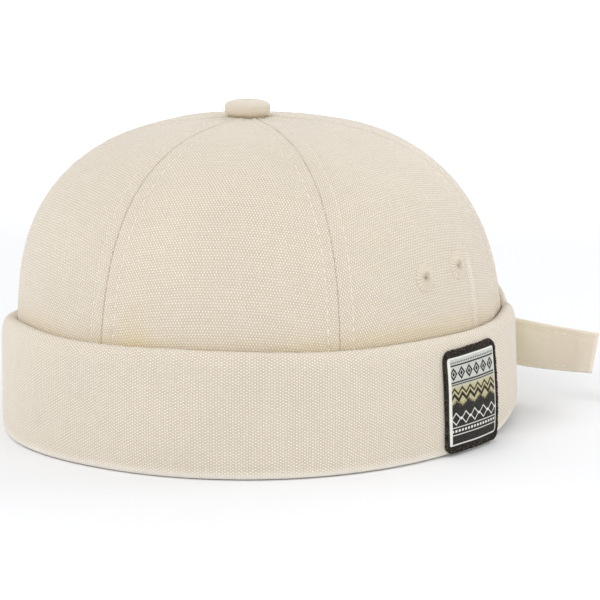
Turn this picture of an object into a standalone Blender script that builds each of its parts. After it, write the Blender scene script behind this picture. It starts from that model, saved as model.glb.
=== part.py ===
"""Brimless docker cap in cotton canvas: six crown panels, a turned-up cuff and a strap at the back.

Metres, +Z up. The wearer faces -Y and the wearer's left is +X. The origin is the middle of the head
opening, on the plane that the cap rests on. Angles go round the cap from the front towards the left.
"""

import math

import bmesh
import bpy
import numpy as np
from mathutils import Matrix, Vector

# Gaps between pieces
CLEARANCE = 0.0003

# Crown, measured outside
CROWN_WIDTH = 0.176
CROWN_LENGTH = 0.192
CROWN_HEIGHT = 0.1195
CROWN_WALL = 0.0014
OVAL_POWER = 2.19
DOME_START = 0.018
DOME_POWER_UP = 3.06
DOME_POWER_OUT = 2.61
APEX_LEAN = 0.0078
LEAN_POWER = 1.8
TIP_RADIUS = 0.003
SEAM_DIP = 0.0005
SEAM_DIP_REACH = 0.005
SEAM_DRIFT = 0.010
SEAM_DRIFT_FROM = 0.35
FRONT_PANEL_WIDTH = 0.094
BACK_PANEL_WIDTH = 0.096

# Cuff
CUFF_HEIGHT = 0.046
CUFF_WALL = 0.0022
CUFF_PLAY = 0.0018
CUFF_BULGE = 0.0006
CUFF_ROLL = 0.007
CUFF_ROLL_IN = 0.0024
CUFF_DROP = 0.0042
CUFF_HIGH_ANGLE = math.radians(45)
CUFF_RETURN = 0.0018
CUFF_FOOT_RADIUS = 0.0014
CUFF_END_RADIUS = 0.006
CUFF_WAVE = 0.0007
CUFF_WAVES = 5
CUFF_WAVE_ANGLE = math.radians(31)

# Opening at the back
GAP_WIDTH = 0.060
ARCH_WIDTH = 0.066
ARCH_HEIGHT = 0.054

# Strap, its tab and the slide
STRAP_WIDTH = 0.018
STRAP_THICKNESS = 0.002
STRAP_ANCHOR = 0.020
TAIL_LENGTH = 0.064
TAIL_TURN = math.radians(24)
TAIL_TAPER = 0.0015
TAIL_SLANT = 0.003
TAB_THICKNESS = 0.0014
TAB_INSET = 0.001
TAB_ANCHOR = 0.014
SLIDE_BAR = 0.0018
SLIDE_PITCH = 0.010
SLIDE_PLAY = 0.0005
SLIDE_FROM_GAP_END = 0.017
SLIDE_CORNER = 0.002

# Patch
PATCH_WIDTH = 0.0376
PATCH_HEIGHT = 0.0378
PATCH_FOOT = 0.0013
PATCH_BEHIND_SIDE = 0.008
PATCH_LEAN = 0.002
PATCH_CORNER = 0.0045
PATCH_BORDER = 0.0028
PATCH_THICKNESS = 0.0009
BORDER_THICKNESS = 0.0016

# Button and eyelets
BUTTON_DIAMETER = 0.0174
BUTTON_HEIGHT = 0.0066
BUTTON_POWER = 2.7
RIVET_RADIUS = 0.0016
RIVET_HEAD_RADIUS = 0.005
RIVET_HEAD_THICKNESS = 0.001
EYELET_DIAMETER = 0.0076
EYELET_HOLE = 0.0026
EYELET_BARREL = 0.0044
EYELET_PROUD = 0.0007
EYELET_SPACING = 0.0225
EYELET_HEIGHT = 0.0667
EYELETS_BEHIND_SIDE = 0.0024

# Facets
PANEL_COLUMNS = 10
PANEL_ROWS = 15
CUFF_STATIONS = 60
PROFILE_SAMPLES = 2000

CANVAS = ("canvas", (0.80, 0.74, 0.62, 1), 0.9, 0.0)
THREAD = ("thread", (0.84, 0.79, 0.68, 1), 0.8, 0.0)
OVERLOCK = ("overlock", (0.035, 0.03, 0.028, 1), 0.85, 0.0)
LABEL = ("label", (0.30, 0.29, 0.24, 1), 0.8, 0.0)
STEEL = ("steel", (0.62, 0.60, 0.55, 1), 0.35, 1.0)

# Shallow dents in the crown, and one swelling of negative depth. Angles are from the front, "share"
# and "up" are parts of the way from the lower edge to the apex, and depths are in crown walls.
CROWN_DENTS = [
    {"angle": math.radians(-70), "share": 0.66, "across": 0.5, "up": 0.12, "depth": 0.2},
    {"angle": math.radians(-75), "share": 0.37, "across": 0.5, "up": 0.13, "depth": -0.8},
    {"angle": math.radians(127), "share": 0.86, "across": 0.6, "up": 0.10, "depth": 0.2},
]


def clear_scene():
    for found in list(bpy.data.objects):
        bpy.data.objects.remove(found, do_unlink=True)


def collection(name, hidden=False):
    made = bpy.data.collections.new(name)
    made.hide_render = hidden
    bpy.context.scene.collection.children.link(made)
    return made


def material(look):
    name, colour, roughness, metallic = look
    made = bpy.data.materials.get(name)
    if made is None:
        made = bpy.data.materials.new(name)
        made.use_nodes = True
        shader = made.node_tree.nodes["Principled BSDF"]
        shader.inputs["Base Color"].default_value = colour
        shader.inputs["Roughness"].default_value = roughness
        shader.inputs["Metallic"].default_value = metallic
    return made


def add_object(name, data, look, group):
    made = bpy.data.objects.new(name, data)
    group.objects.link(made)
    data.materials.append(material(look))
    return made


def grid_mesh(name, rows, closed=False):
    """A surface through rows of points, each row as long as the next."""
    made = bmesh.new()
    lines = [[made.verts.new(point) for point in row] for row in rows]
    count = len(rows[0])
    for low, high in zip(lines, lines[1:]):
        for i in range(count if closed else count - 1):
            j = (i + 1) % count
            made.faces.new((low[i], low[j], high[j], high[i]))
    bmesh.ops.recalc_face_normals(made, faces=made.faces)
    mesh = bpy.data.meshes.new(name)
    made.to_mesh(mesh)
    made.free()
    mesh.shade_smooth()
    return mesh


def thicken(obj, thickness, side):
    """Solidify; side -1 grows behind the faces, 1 in front and 0 both ways."""
    made = obj.modifiers.new("wall", "SOLIDIFY")
    made.thickness = thickness
    made.offset = side
    made.use_even_offset = True
    return made


def turned(name, outline, steps, look, group, closed):
    """A turned solid from (radius, height) points that run down its outer side."""
    mesh = bpy.data.meshes.new(name)
    count = len(outline)
    edges = [(i, i + 1) for i in range(count - 1)]
    if closed:
        edges.append((count - 1, 0))
    mesh.from_pydata([(radius, 0, height) for radius, height in outline], edges, [])
    made = add_object(name, mesh, look, group)
    screw = made.modifiers.new("turn", "SCREW")
    screw.steps = steps
    screw.render_steps = steps
    screw.use_merge_vertices = True
    screw.merge_threshold = 0.00001
    screw.use_normal_calculate = True
    screw.use_normal_flip = closed
    return made


def cut(obj, cutter, operation="DIFFERENCE"):
    made = obj.modifiers.new("cut", "BOOLEAN")
    made.operation = operation
    made.solver = "EXACT"
    made.object = cutter
    cutter.hide_render = True
    cutter.display_type = "WIRE"


# The crown's oval and profile


def spread(value):
    return math.copysign(abs(value) ** (2 / OVAL_POWER), value)


def oval_point(reach, angle):
    """A point of the crown's outside in plan; reach is 1 at its widest."""
    return Vector((
        CROWN_WIDTH / 2 * reach * spread(math.sin(angle)),
        -CROWN_LENGTH / 2 * reach * spread(math.cos(angle)),
    ))


def oval_normal(angle):
    """The way out, in plan."""
    point = oval_point(1, angle)
    slope = Vector((
        math.copysign(abs(point.x / CROWN_WIDTH) ** (OVAL_POWER - 1), point.x) / CROWN_WIDTH,
        math.copysign(abs(point.y / CROWN_LENGTH) ** (OVAL_POWER - 1), point.y) / CROWN_LENGTH,
    ))
    return slope.normalized()


def oval_lengths():
    """Angles from the front all the way round, and the length along the oval to each."""
    angles = np.linspace(0, 2 * math.pi, PROFILE_SAMPLES + 1)
    points = np.array([oval_point(1, angle) for angle in angles])
    steps = np.linalg.norm(np.diff(points, axis=0), axis=1)
    return angles, np.concatenate([[0], np.cumsum(steps)])


OVAL_ANGLES, OVAL_LENGTHS = oval_lengths()
PERIMETER = float(OVAL_LENGTHS[-1])


def angle_at(length):
    """The angle at a length round the oval from the front, towards the left; below 0 is to the right."""
    turns = math.floor(length / PERIMETER)
    within = float(np.interp(length - turns * PERIMETER, OVAL_LENGTHS, OVAL_ANGLES))
    return within + turns * 2 * math.pi


def crown_base():
    return CUFF_RETURN + CLEARANCE


def meridian_table():
    """Reach and height along the crown's profile, from its lower edge to its tip, by length."""
    climbs = np.linspace(0, math.pi / 2, PROFILE_SAMPLES)
    rise = np.sin(climbs) ** (2 / DOME_POWER_UP)
    reach = np.clip(np.cos(climbs), 0, 1) ** (2 / DOME_POWER_OUT)
    height = DOME_START + rise * (CROWN_HEIGHT - DOME_START)
    kept = reach * CROWN_LENGTH / 2 >= TIP_RADIUS
    reach = np.concatenate([[1], reach[kept]])
    height = np.concatenate([[crown_base()], height[kept]])
    steps = np.hypot(np.diff(reach) * CROWN_LENGTH / 2, np.diff(height))
    along = np.concatenate([[0], np.cumsum(steps)])
    return along / along[-1], reach, height


MERIDIAN, MERIDIAN_REACH, MERIDIAN_HEIGHT = meridian_table()


def reach_at(share):
    return float(np.interp(share, MERIDIAN, MERIDIAN_REACH))


def height_at(share):
    return float(np.interp(share, MERIDIAN, MERIDIAN_HEIGHT))


def share_at(height):
    return float(np.interp(height, MERIDIAN_HEIGHT, MERIDIAN))


def smooth_crown_point(angle, share):
    plan = oval_point(reach_at(share), angle)
    height = height_at(share)
    rise = max(0, (height - DOME_START) / (CROWN_HEIGHT - DOME_START))
    return Vector((plan.x, plan.y - APEX_LEAN * rise**LEAN_POWER, height))


def crown_normal(angle, share):
    step = 0.004
    low, high = max(0, share - step), min(1, share + step)
    round_it = smooth_crown_point(angle + step, share) - smooth_crown_point(angle - step, share)
    up_it = smooth_crown_point(angle, high) - smooth_crown_point(angle, low)
    return round_it.cross(up_it).normalized()


def seam_length(seam):
    """A seam's place round the crown, by length from the front; the left seams come first."""
    to_left = [0, FRONT_PANEL_WIDTH, PERIMETER / 2 - BACK_PANEL_WIDTH, PERIMETER / 2]
    return to_left[seam] if seam < 4 else PERIMETER - to_left[6 - seam]


def seam_angle(seam, share):
    """A seam's angle up the crown; the seams drift towards the left on their way to the apex."""
    return angle_at(seam_length(seam) + SEAM_DRIFT * (share - SEAM_DRIFT_FROM))


def dents_at(angle, share):
    depth = 0
    for dent in CROWN_DENTS:
        aside = math.remainder(angle - dent["angle"], 2 * math.pi) / dent["across"]
        above = (share - dent["share"]) / dent["up"]
        depth += CROWN_WALL * dent["depth"] * math.exp(-(aside**2) - above**2)
    return depth


def crown_point(angle, share, from_seam):
    """A point of the crown's outside; from_seam is its distance from the nearer seam."""
    sunk = SEAM_DIP * math.exp(-((from_seam / SEAM_DIP_REACH) ** 2)) + dents_at(angle, share)
    return smooth_crown_point(angle, share) - crown_normal(angle, share) * sunk


# Crown pieces


def panel_rows(first_seam):
    """Rows of points across a panel, from its lower edge to its tip, closer together near the seams."""
    rows = []
    for i in range(PANEL_ROWS + 1):
        share = i / PANEL_ROWS
        radius = reach_at(share) * CROWN_LENGTH / 2
        margin = CLEARANCE / 2 / radius
        start = seam_angle(first_seam, share) + margin
        end = seam_angle(first_seam + 1, share) - margin
        row = []
        for j in range(PANEL_COLUMNS + 1):
            across = 0.5 - 0.5 * math.cos(math.pi * j / PANEL_COLUMNS)
            angle = start + across * (end - start)
            row.append(crown_point(angle, share, min(across, 1 - across) * (end - start) * radius))
        rows.append(row)
    return rows


def arch_cutter(group):
    """An oval bar through the back, whose upper half is the arch."""
    bpy.ops.mesh.primitive_cylinder_add(vertices=56, radius=1, depth=1)
    made = bpy.context.active_object
    made.name = "arch_cutter"
    place = Matrix.Translation((0, CROWN_LENGTH / 2, 0)) @ Matrix.Rotation(math.pi / 2, 4, "X")
    size = Matrix.Diagonal((ARCH_WIDTH / 2, ARCH_HEIGHT, CROWN_LENGTH / 2, 1))
    made.data.transform(place @ size)
    for other in list(made.users_collection):
        other.objects.unlink(made)
    group.objects.link(made)
    return made


def eyelet_places():
    """Name, angle, share of the profile and panel of each eyelet."""
    share = share_at(EYELET_HEIGHT)
    half = EYELET_SPACING / 2 / reach_at(share)
    side = PERIMETER / 4 + EYELETS_BEHIND_SIDE
    left_front, left_back = angle_at(side - half), angle_at(side + half)
    return [
        {"name": "eyelet_left_front", "angle": left_front, "share": share, "panel": "side_left"},
        {"name": "eyelet_left_back", "angle": left_back, "share": share, "panel": "side_left"},
        {"name": "eyelet_right_front", "angle": -left_front, "share": share, "panel": "side_right"},
        {"name": "eyelet_right_back", "angle": -left_back, "share": share, "panel": "side_right"},
    ]


def eyelet_matrix(place):
    """The eyelet's frame: its origin on the crown's outside and +Z out of it."""
    far_from_seam = SEAM_DIP_REACH * 10
    at = crown_point(place["angle"], place["share"], far_from_seam)
    out = crown_normal(place["angle"], place["share"])
    return Matrix.Translation(at) @ out.to_track_quat("Z", "Y").to_matrix().to_4x4()


def make_eyelet(place, panel, group, cutters):
    inner, barrel, rim = EYELET_HOLE / 2, EYELET_BARREL / 2, EYELET_DIAMETER / 2
    top = CLEARANCE + EYELET_PROUD
    outline = [
        (inner, top - EYELET_PROUD * 0.35),
        ((inner + rim) / 2, top),
        (rim - EYELET_PROUD * 0.5, top - EYELET_PROUD * 0.25),
        (rim, CLEARANCE),
        (barrel, CLEARANCE),
        (barrel, -CROWN_WALL),
        (inner, -CROWN_WALL),
    ]
    made = turned(place["name"], outline, 14, THREAD, group, closed=True)
    made.matrix_world = eyelet_matrix(place)
    bpy.ops.mesh.primitive_cylinder_add(vertices=14, radius=barrel + CLEARANCE, depth=CROWN_WALL * 6)
    cutter = bpy.context.active_object
    cutter.name = place["name"] + "_cutter"
    cutter.matrix_world = eyelet_matrix(place)
    for other in list(cutter.users_collection):
        other.objects.unlink(cutter)
    cutters.objects.link(cutter)
    cut(panel, cutter)


def make_crown(group, cutters):
    names = ["front_left", "side_left", "back_left", "back_right", "side_right", "front_right"]
    arch = arch_cutter(cutters)
    panels = {}
    for seam, name in enumerate(names):
        mesh = grid_mesh("crown_panel_" + name, panel_rows(seam))
        panel = add_object("crown_panel_" + name, mesh, CANVAS, group)
        thicken(panel, CROWN_WALL, -1)
        if name.startswith("back"):
            cut(panel, arch)
        panels[name] = panel
    for place in eyelet_places():
        make_eyelet(place, panels[place["panel"]], group, cutters)


def make_button(group):
    """A cloth-covered dome on a rivet, which passes between the panels' tips to a flat head inside."""
    radius = BUTTON_DIAMETER / 2
    steps = 6
    dome = []
    for i in range(steps + 1):
        turn = math.pi / 2 * (1 - i / steps)
        out = math.cos(turn) ** (2 / BUTTON_POWER) if i else 0
        up = math.sin(turn) ** (2 / BUTTON_POWER) if i < steps else 0
        dome.append((radius * out, BUTTON_HEIGHT * (0.25 + 0.75 * up)))
    inside = -SEAM_DIP - CROWN_WALL - 2 * CLEARANCE
    outline = dome + [
        (radius * 0.93, BUTTON_HEIGHT * 0.06),
        (radius * 0.85, 0),
        (RIVET_RADIUS, 0),
        (RIVET_RADIUS, inside),
        (RIVET_HEAD_RADIUS, inside),
        (RIVET_HEAD_RADIUS, inside - RIVET_HEAD_THICKNESS),
        (0, inside - RIVET_HEAD_THICKNESS),
    ]
    made = turned("button", outline, 24, CANVAS, group, closed=False)
    made.location = (0, -APEX_LEAN, CROWN_HEIGHT + CLEARANCE)


# Cuff


def cuff_standoff():
    """The room between crown and cuff, which the strap's sewn end fits in."""
    return STRAP_THICKNESS + CUFF_PLAY


def cuff_outside():
    """How far the cuff's outer face stands out from the crown's."""
    return cuff_standoff() + CUFF_WALL


def plan_point(length, out):
    """A point in plan at a length round the crown's oval and a distance out from it."""
    angle = angle_at(length)
    return oval_point(1, angle) + oval_normal(angle) * out


def cuff_bulge(height):
    return CUFF_BULGE * math.sin(math.pi * min(1, height / CUFF_HEIGHT))


def cuff_top(length, from_end):
    """The cuff's height, which is lower at the wearer's right and at its two rounded ends."""
    angle = angle_at(length)
    away = (1 - math.cos(angle - CUFF_HIGH_ANGLE)) / 2
    share = min(1, max(0, (away - 0.3) / 0.35))
    drop = CUFF_DROP * share**2 * (3 - 2 * share)
    wave = CUFF_WAVE * math.cos(CUFF_WAVES * (angle - CUFF_WAVE_ANGLE))
    short = max(0, 1 - from_end / CUFF_END_RADIUS)
    return CUFF_HEIGHT + wave - drop - CUFF_END_RADIUS * (1 - math.sqrt(1 - short**2))


def cuff_middle(top):
    """The middle of the cuff's wall as (out from the crown, height): upright, then rolling inwards."""
    upright = cuff_standoff() + CUFF_WALL / 2
    roll_start = top - CUFF_WALL / 2 - CUFF_ROLL
    points = [(upright + cuff_bulge(h), h) for h in (CUFF_RETURN, roll_start / 2, roll_start)]
    for k in range(1, 4):
        turn = math.radians(26) * k
        out = upright + cuff_bulge(roll_start) - CUFF_ROLL_IN * (1 - math.cos(turn))
        points.append((out, roll_start + CUFF_ROLL * math.sin(turn)))
    return [Vector(point) for point in points]


def cuff_section(top):
    """The cuff's closed outline as (out from the crown, height), from the foot's outer corner up."""
    middle = cuff_middle(top)
    half, foot, hem = CUFF_WALL / 2, CUFF_FOOT_RADIUS, CUFF_RETURN / 2
    sides = [Vector((way.y, -way.x)) * half for way in path_ways(middle)]
    outside = [point + side for point, side in zip(middle, sides)]
    inside = [point - side for point, side in zip(middle, sides)]
    tip, across = middle[-1], sides[-1]
    along = Vector((-across.y, across.x))
    fold = [
        tip + across * math.cos(turn) + along * math.sin(turn)
        for turn in (math.pi * k / 5 for k in range(1, 5))
    ]
    edge = -CROWN_WALL
    outer = outside[0].x
    foot_corner = [(outer - foot, 0), (outer - foot * 0.3, foot * 0.3)]
    returned = [(edge, CUFF_RETURN), (edge - hem, hem), (edge, 0)]
    return foot_corner + [tuple(point) for point in outside + fold + inside[::-1]] + returned


def cuff_stations():
    """Lengths round the crown from the left end of the cuff to its right end, closer at the ends."""
    first = PERIMETER / 2 - GAP_WIDTH / 2
    last = -first
    near_end = [CUFF_END_RADIUS * share for share in (0, 0.08, 0.3, 0.62, 1)]
    inner_first, inner_last = first - CUFF_END_RADIUS, last + CUFF_END_RADIUS
    middle = [
        inner_first + (inner_last - inner_first) * k / CUFF_STATIONS
        for k in range(1, CUFF_STATIONS)
    ]
    return [first - d for d in near_end] + middle + [last + d for d in reversed(near_end)]


def make_cuff(group):
    first = PERIMETER / 2 - GAP_WIDTH / 2
    rows = []
    for length in cuff_stations():
        top = cuff_top(length, first - abs(length))
        rows.append([
            (*plan_point(length, out), height) for out, height in cuff_section(top)
        ])
    mesh = grid_mesh("cuff", rows, closed=True)
    made = bmesh.new()
    made.from_mesh(mesh)
    bmesh.ops.holes_fill(made, edges=[edge for edge in made.edges if edge.is_boundary])
    bmesh.ops.recalc_face_normals(made, faces=made.faces)
    made.to_mesh(mesh)
    made.free()
    add_object("cuff", mesh, CANVAS, group)


# Patch


def patch_point(across, up, out):
    """A point over the cuff's outer face: across from the patch's middle and up from its foot."""
    per_length = PERIMETER / (PERIMETER + 2 * math.pi * cuff_outside())
    lean = PATCH_LEAN * (0.5 - up / PATCH_HEIGHT)
    length = PERIMETER / 4 + (PATCH_BEHIND_SIDE + across + lean) * per_length
    height = PATCH_FOOT + up
    here = plan_point(length, cuff_outside() + cuff_bulge(height) + out)
    return (*here, height)


def rounded_outline(inset):
    """The patch's outline, moved in by inset, as (across, up) points."""
    corner = max(PATCH_CORNER - inset, 0.0005)
    half_width = PATCH_WIDTH / 2 - inset
    low, high = inset, PATCH_HEIGHT - inset
    arc, side = 4, 5
    corners = [
        (half_width - corner, high - corner, 0),
        (-half_width + corner, high - corner, 90),
        (-half_width + corner, low + corner, 180),
        (half_width - corner, low + corner, 270),
    ]
    points = []
    for k, (x, y, start) in enumerate(corners):
        for i in range(arc + 1):
            turn = math.radians(start + 90 * i / arc)
            points.append((x + corner * math.cos(turn), y + corner * math.sin(turn)))
        next_x, next_y, next_start = corners[(k + 1) % 4]
        turn = math.radians(next_start)
        to = (next_x + corner * math.cos(turn), next_y + corner * math.sin(turn))
        at = points[-1]
        points += [
            (at[0] + (to[0] - at[0]) * i / side, at[1] + (to[1] - at[1]) * i / side)
            for i in range(1, side)
        ]
    return points


def patch_ring(shrink, inset, out):
    """The outline at an inset, shrunk about the patch's middle by a share."""
    middle = PATCH_HEIGHT / 2
    return [
        patch_point(x * shrink, middle + (y - middle) * shrink, out)
        for x, y in rounded_outline(inset)
    ]


def make_patch(group):
    field_inset = PATCH_BORDER + CLEARANCE
    rings = [patch_ring(shrink, field_inset, CLEARANCE) for shrink in (0.06, 0.3, 0.55, 0.8, 1)]
    mesh = grid_mesh("patch_field", rings, closed=True)
    made = bmesh.new()
    made.from_mesh(mesh)
    made.verts.ensure_lookup_table()
    made.faces.new(made.verts[: len(rings[0])])
    bmesh.ops.recalc_face_normals(made, faces=made.faces)
    outward = sum((face.normal.x for face in made.faces), 0)
    if outward < 0:
        bmesh.ops.reverse_faces(made, faces=made.faces)
    made.to_mesh(mesh)
    made.free()
    field = add_object("patch_field", mesh, LABEL, group)
    thicken(field, PATCH_THICKNESS, 1)

    base, top = CLEARANCE, CLEARANCE + BORDER_THICKNESS
    sections = [
        (0, base), (0, base + BORDER_THICKNESS * 0.55), (PATCH_BORDER * 0.25, top),
        (PATCH_BORDER * 0.75, top), (PATCH_BORDER, base + BORDER_THICKNESS * 0.55),
        (PATCH_BORDER, base),
    ]
    loops = [patch_ring(1, inset, out) for inset, out in sections]
    loops.append(loops[0])
    ring = grid_mesh("patch_border", loops, closed=True)
    made = bmesh.new()
    made.from_mesh(ring)
    bmesh.ops.remove_doubles(made, verts=made.verts, dist=0.000001)
    bmesh.ops.recalc_face_normals(made, faces=made.faces)
    made.to_mesh(ring)
    made.free()
    add_object("patch_border", ring, OVERLOCK, group)


# Strap, tab and slide


def slide_frame():
    """The slide's middle bar in plan, the way along the strap and the way out."""
    to_slide = GAP_WIDTH / 2 - SLIDE_FROM_GAP_END
    length = PERIMETER / 2 - to_slide
    out = oval_normal(angle_at(length))
    along = Vector((out.y, -out.x))
    return plan_point(length, loop_radius()), along, out


def loop_hole():
    """The tab's eye clears the corners of the slide's square bar."""
    return SLIDE_BAR / 2 * math.sqrt(2) + CLEARANCE


def loop_radius():
    return loop_hole() + TAB_THICKNESS


def bar_point(steps, out):
    """A point in plan, so many bars along from the slide's middle bar and a distance out."""
    middle, along, normal = slide_frame()
    return middle + along * SLIDE_PITCH * steps + normal * out


def towards_left(length):
    normal = oval_normal(angle_at(length))
    return Vector((normal.y, -normal.x))


def curve_between(start, start_way, end, end_way, steps):
    """Points of a smooth curve from start to end that leaves and arrives along the given ways."""
    span = (end - start).length
    points = []
    for i in range(steps):
        t = i / steps
        points.append(
            start * (2 * t**3 - 3 * t**2 + 1)
            + start_way * span * (t**3 - 2 * t**2 + t)
            + end * (3 * t**2 - 2 * t**3)
            + end_way * span * (t**3 - t**2)
        )
    return points


def strap_path():
    """The strap's middle in plan, from its sewn end to its free end, and where its tail starts."""
    half = STRAP_THICKNESS / 2
    back = PERIMETER / 2
    under_cuff = CLEARANCE + half
    over_bar = SLIDE_BAR / 2 + SLIDE_PLAY + half
    over_loop = loop_radius() + SLIDE_PLAY + half
    over_cuff = cuff_outside() + cuff_bulge(CUFF_HEIGHT / 2) + SLIDE_PLAY + half
    _, along, _ = slide_frame()
    right_end = back + GAP_WIDTH / 2
    left_end = back - GAP_WIDTH / 2
    anchor_steps = 5
    points = [
        plan_point(right_end + STRAP_ANCHOR * (1 - i / anchor_steps), under_cuff)
        for i in range(anchor_steps)
    ]
    stops = [
        (plan_point(right_end, under_cuff), towards_left(right_end)),
        (bar_point(-1, over_bar), along),
        (bar_point(0, -over_bar), along),
        (bar_point(1, over_loop), along),
        (plan_point(left_end, over_cuff), towards_left(left_end)),
    ]
    for (start, start_way), (end, end_way) in zip(stops, stops[1:]):
        points += curve_between(start, start_way, end, end_way, 8)
    tail_start = len(points)
    at, way = stops[-1]
    heading = math.atan2(way.y, way.x)
    steps = 12
    points.append(at)
    for i in range(steps):
        turned_by = TAIL_TURN * (i + 0.5) / steps
        step = Vector((math.cos(heading + turned_by), math.sin(heading + turned_by)))
        points.append(points[-1] + step * TAIL_LENGTH / steps)
    return points, tail_start


def ribbon_rows(path, half_widths, slant=0):
    """Rows across a standing ribbon; slant draws the lower corner of its free end back."""
    middle = CUFF_HEIGHT / 2
    rows = []
    for point, way, half in zip(path, path_ways(path), half_widths):
        at_end = point is path[-1]
        row = []
        for share in (-1, -0.5, 0, 0.5, 1):
            back = slant * (1 - share) / 2 if at_end else 0
            place = point - way * back
            row.append((place.x, place.y, middle + half * share))
        rows.append(row)
    return rows


def path_ways(path):
    """The way along a path at each of its points."""
    ways = []
    for i in range(len(path)):
        low, high = path[max(0, i - 1)], path[min(len(path) - 1, i + 1)]
        ways.append((high - low).normalized())
    return ways


def make_strap(group):
    path, tail_start = strap_path()
    last = len(path) - 1
    widths = []
    for i in range(len(path)):
        out_along = max(0, i - tail_start) / (last - tail_start)
        widths.append((STRAP_WIDTH - TAIL_TAPER * out_along) / 2)
    mesh = grid_mesh("strap", ribbon_rows(path, widths, TAIL_SLANT))
    strap = add_object("strap", mesh, CANVAS, group)
    thicken(strap, STRAP_THICKNESS, 0)


def make_tab(group, cutters):
    """A strip sewn under the cuff's left end, looped round the slide's last bar."""
    centre = bar_point(1, 0)
    _, along, _ = slide_frame()
    left_end = PERIMETER / 2 - GAP_WIDTH / 2
    under_cuff = CLEARANCE + TAB_THICKNESS / 2
    in_wall = centre + along * (loop_hole() + TAB_THICKNESS / 2)
    path = curve_between(in_wall, along, plan_point(left_end, under_cuff), towards_left(left_end), 5)
    steps = 4
    path += [plan_point(left_end - TAB_ANCHOR * i / steps, under_cuff) for i in range(steps + 1)]
    half = STRAP_WIDTH / 2 - TAB_INSET
    mesh = grid_mesh("tab_stem", ribbon_rows(path, [half] * len(path)))
    stem = add_object("tab_stem", mesh, CANVAS, cutters)
    thicken(stem, TAB_THICKNESS, 0)

    outer, inner = loop_radius(), loop_hole()
    outline = [(outer, half), (outer, -half), (inner, -half), (inner, half)]
    loop = turned("strap_tab", outline, 20, CANVAS, group, closed=True)
    loop.location = (centre.x, centre.y, CUFF_HEIGHT / 2)
    cut(loop, stem, "UNION")


def rectangle_spline(curve, left, right, low, high, corner):
    """A closed outline with rounded corners, added to a flat curve."""
    steps = 4
    points = []
    for x, y, start in (
        (right - corner, high - corner, 0),
        (left + corner, high - corner, 90),
        (left + corner, low + corner, 180),
        (right - corner, low + corner, 270),
    ):
        for i in range(steps + 1):
            turn = math.radians(start + 90 * i / steps)
            points.append((x + corner * math.cos(turn), y + corner * math.sin(turn), 0))
    spline = curve.splines.new("POLY")
    spline.points.add(len(points) - 1)
    for made, point in zip(spline.points, points):
        made.co = (*point, 1)
    spline.use_cyclic_u = True


def make_slide(group):
    """A flat frame with a middle bar: two windows that the strap and the tab pass through."""
    curve = bpy.data.curves.new("buckle", "CURVE")
    curve.dimensions = "2D"
    curve.fill_mode = "BOTH"
    curve.extrude = SLIDE_BAR / 2
    half_height = STRAP_WIDTH / 2 + SLIDE_PLAY
    reach = SLIDE_PITCH + SLIDE_BAR / 2
    rectangle_spline(curve, -reach, reach, -half_height - SLIDE_BAR, half_height + SLIDE_BAR, SLIDE_CORNER)
    near, far = SLIDE_BAR / 2, SLIDE_PITCH - SLIDE_BAR / 2
    window_corner = SLIDE_BAR / 4
    rectangle_spline(curve, -far, -near, -half_height, half_height, window_corner)
    rectangle_spline(curve, near, far, -half_height, half_height, window_corner)
    made = add_object("buckle", curve, STEEL, group)
    middle, along, out = slide_frame()
    made.matrix_world = Matrix((
        (along.x, 0, out.x, middle.x),
        (along.y, 0, out.y, middle.y),
        (0, 1, 0, CUFF_HEIGHT / 2),
        (0, 0, 0, 1),
    ))


def main():
    clear_scene()
    cap = collection("docker_cap")
    cutters = collection("cutters", hidden=True)
    make_crown(cap, cutters)
    make_button(cap)
    make_cuff(cap)
    make_patch(cap)
    make_strap(cap)
    make_tab(cap, cutters)
    make_slide(cap)


main()
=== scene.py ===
"""The docker cap's look: sewn canvas panels, a turned-up cuff, a woven patch and the strap at the back.

Metres, +Z up, the wearer faces -Y and the wearer's left is +X. "Length" is the distance round the
crown's oval from the front towards the left, "share" the part of the way up the crown's profile and
"reach" the crown's width there as a part of its widest. The attribute "cloth" counts the yarns at a
point; its third number is above 0 where the colour is yellowed, by one stain and by painted warm
shade in the crease over the cuff and under the button, and below 0 where the colour is painted paler,
as a painted highlight along the fold and the cuff's foot and as painted light where the roll and the
strap lie in shade.
"""

import math

import bmesh
import bpy
import numpy as np
from mathutils import Matrix, Vector


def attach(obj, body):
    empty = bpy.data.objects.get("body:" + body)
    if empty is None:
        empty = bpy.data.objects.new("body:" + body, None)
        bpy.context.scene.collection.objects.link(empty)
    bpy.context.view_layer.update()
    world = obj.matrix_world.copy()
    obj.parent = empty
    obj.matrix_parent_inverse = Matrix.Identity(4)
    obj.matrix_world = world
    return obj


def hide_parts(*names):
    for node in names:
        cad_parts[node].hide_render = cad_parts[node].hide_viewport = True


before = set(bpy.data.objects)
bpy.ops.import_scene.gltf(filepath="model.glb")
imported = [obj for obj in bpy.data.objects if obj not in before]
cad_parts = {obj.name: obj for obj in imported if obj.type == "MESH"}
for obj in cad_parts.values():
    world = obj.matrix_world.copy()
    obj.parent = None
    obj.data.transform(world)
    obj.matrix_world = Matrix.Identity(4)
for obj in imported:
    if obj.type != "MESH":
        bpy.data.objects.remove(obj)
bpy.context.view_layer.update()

TURN = 2 * math.pi
CLEARANCE = 0.0003

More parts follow.
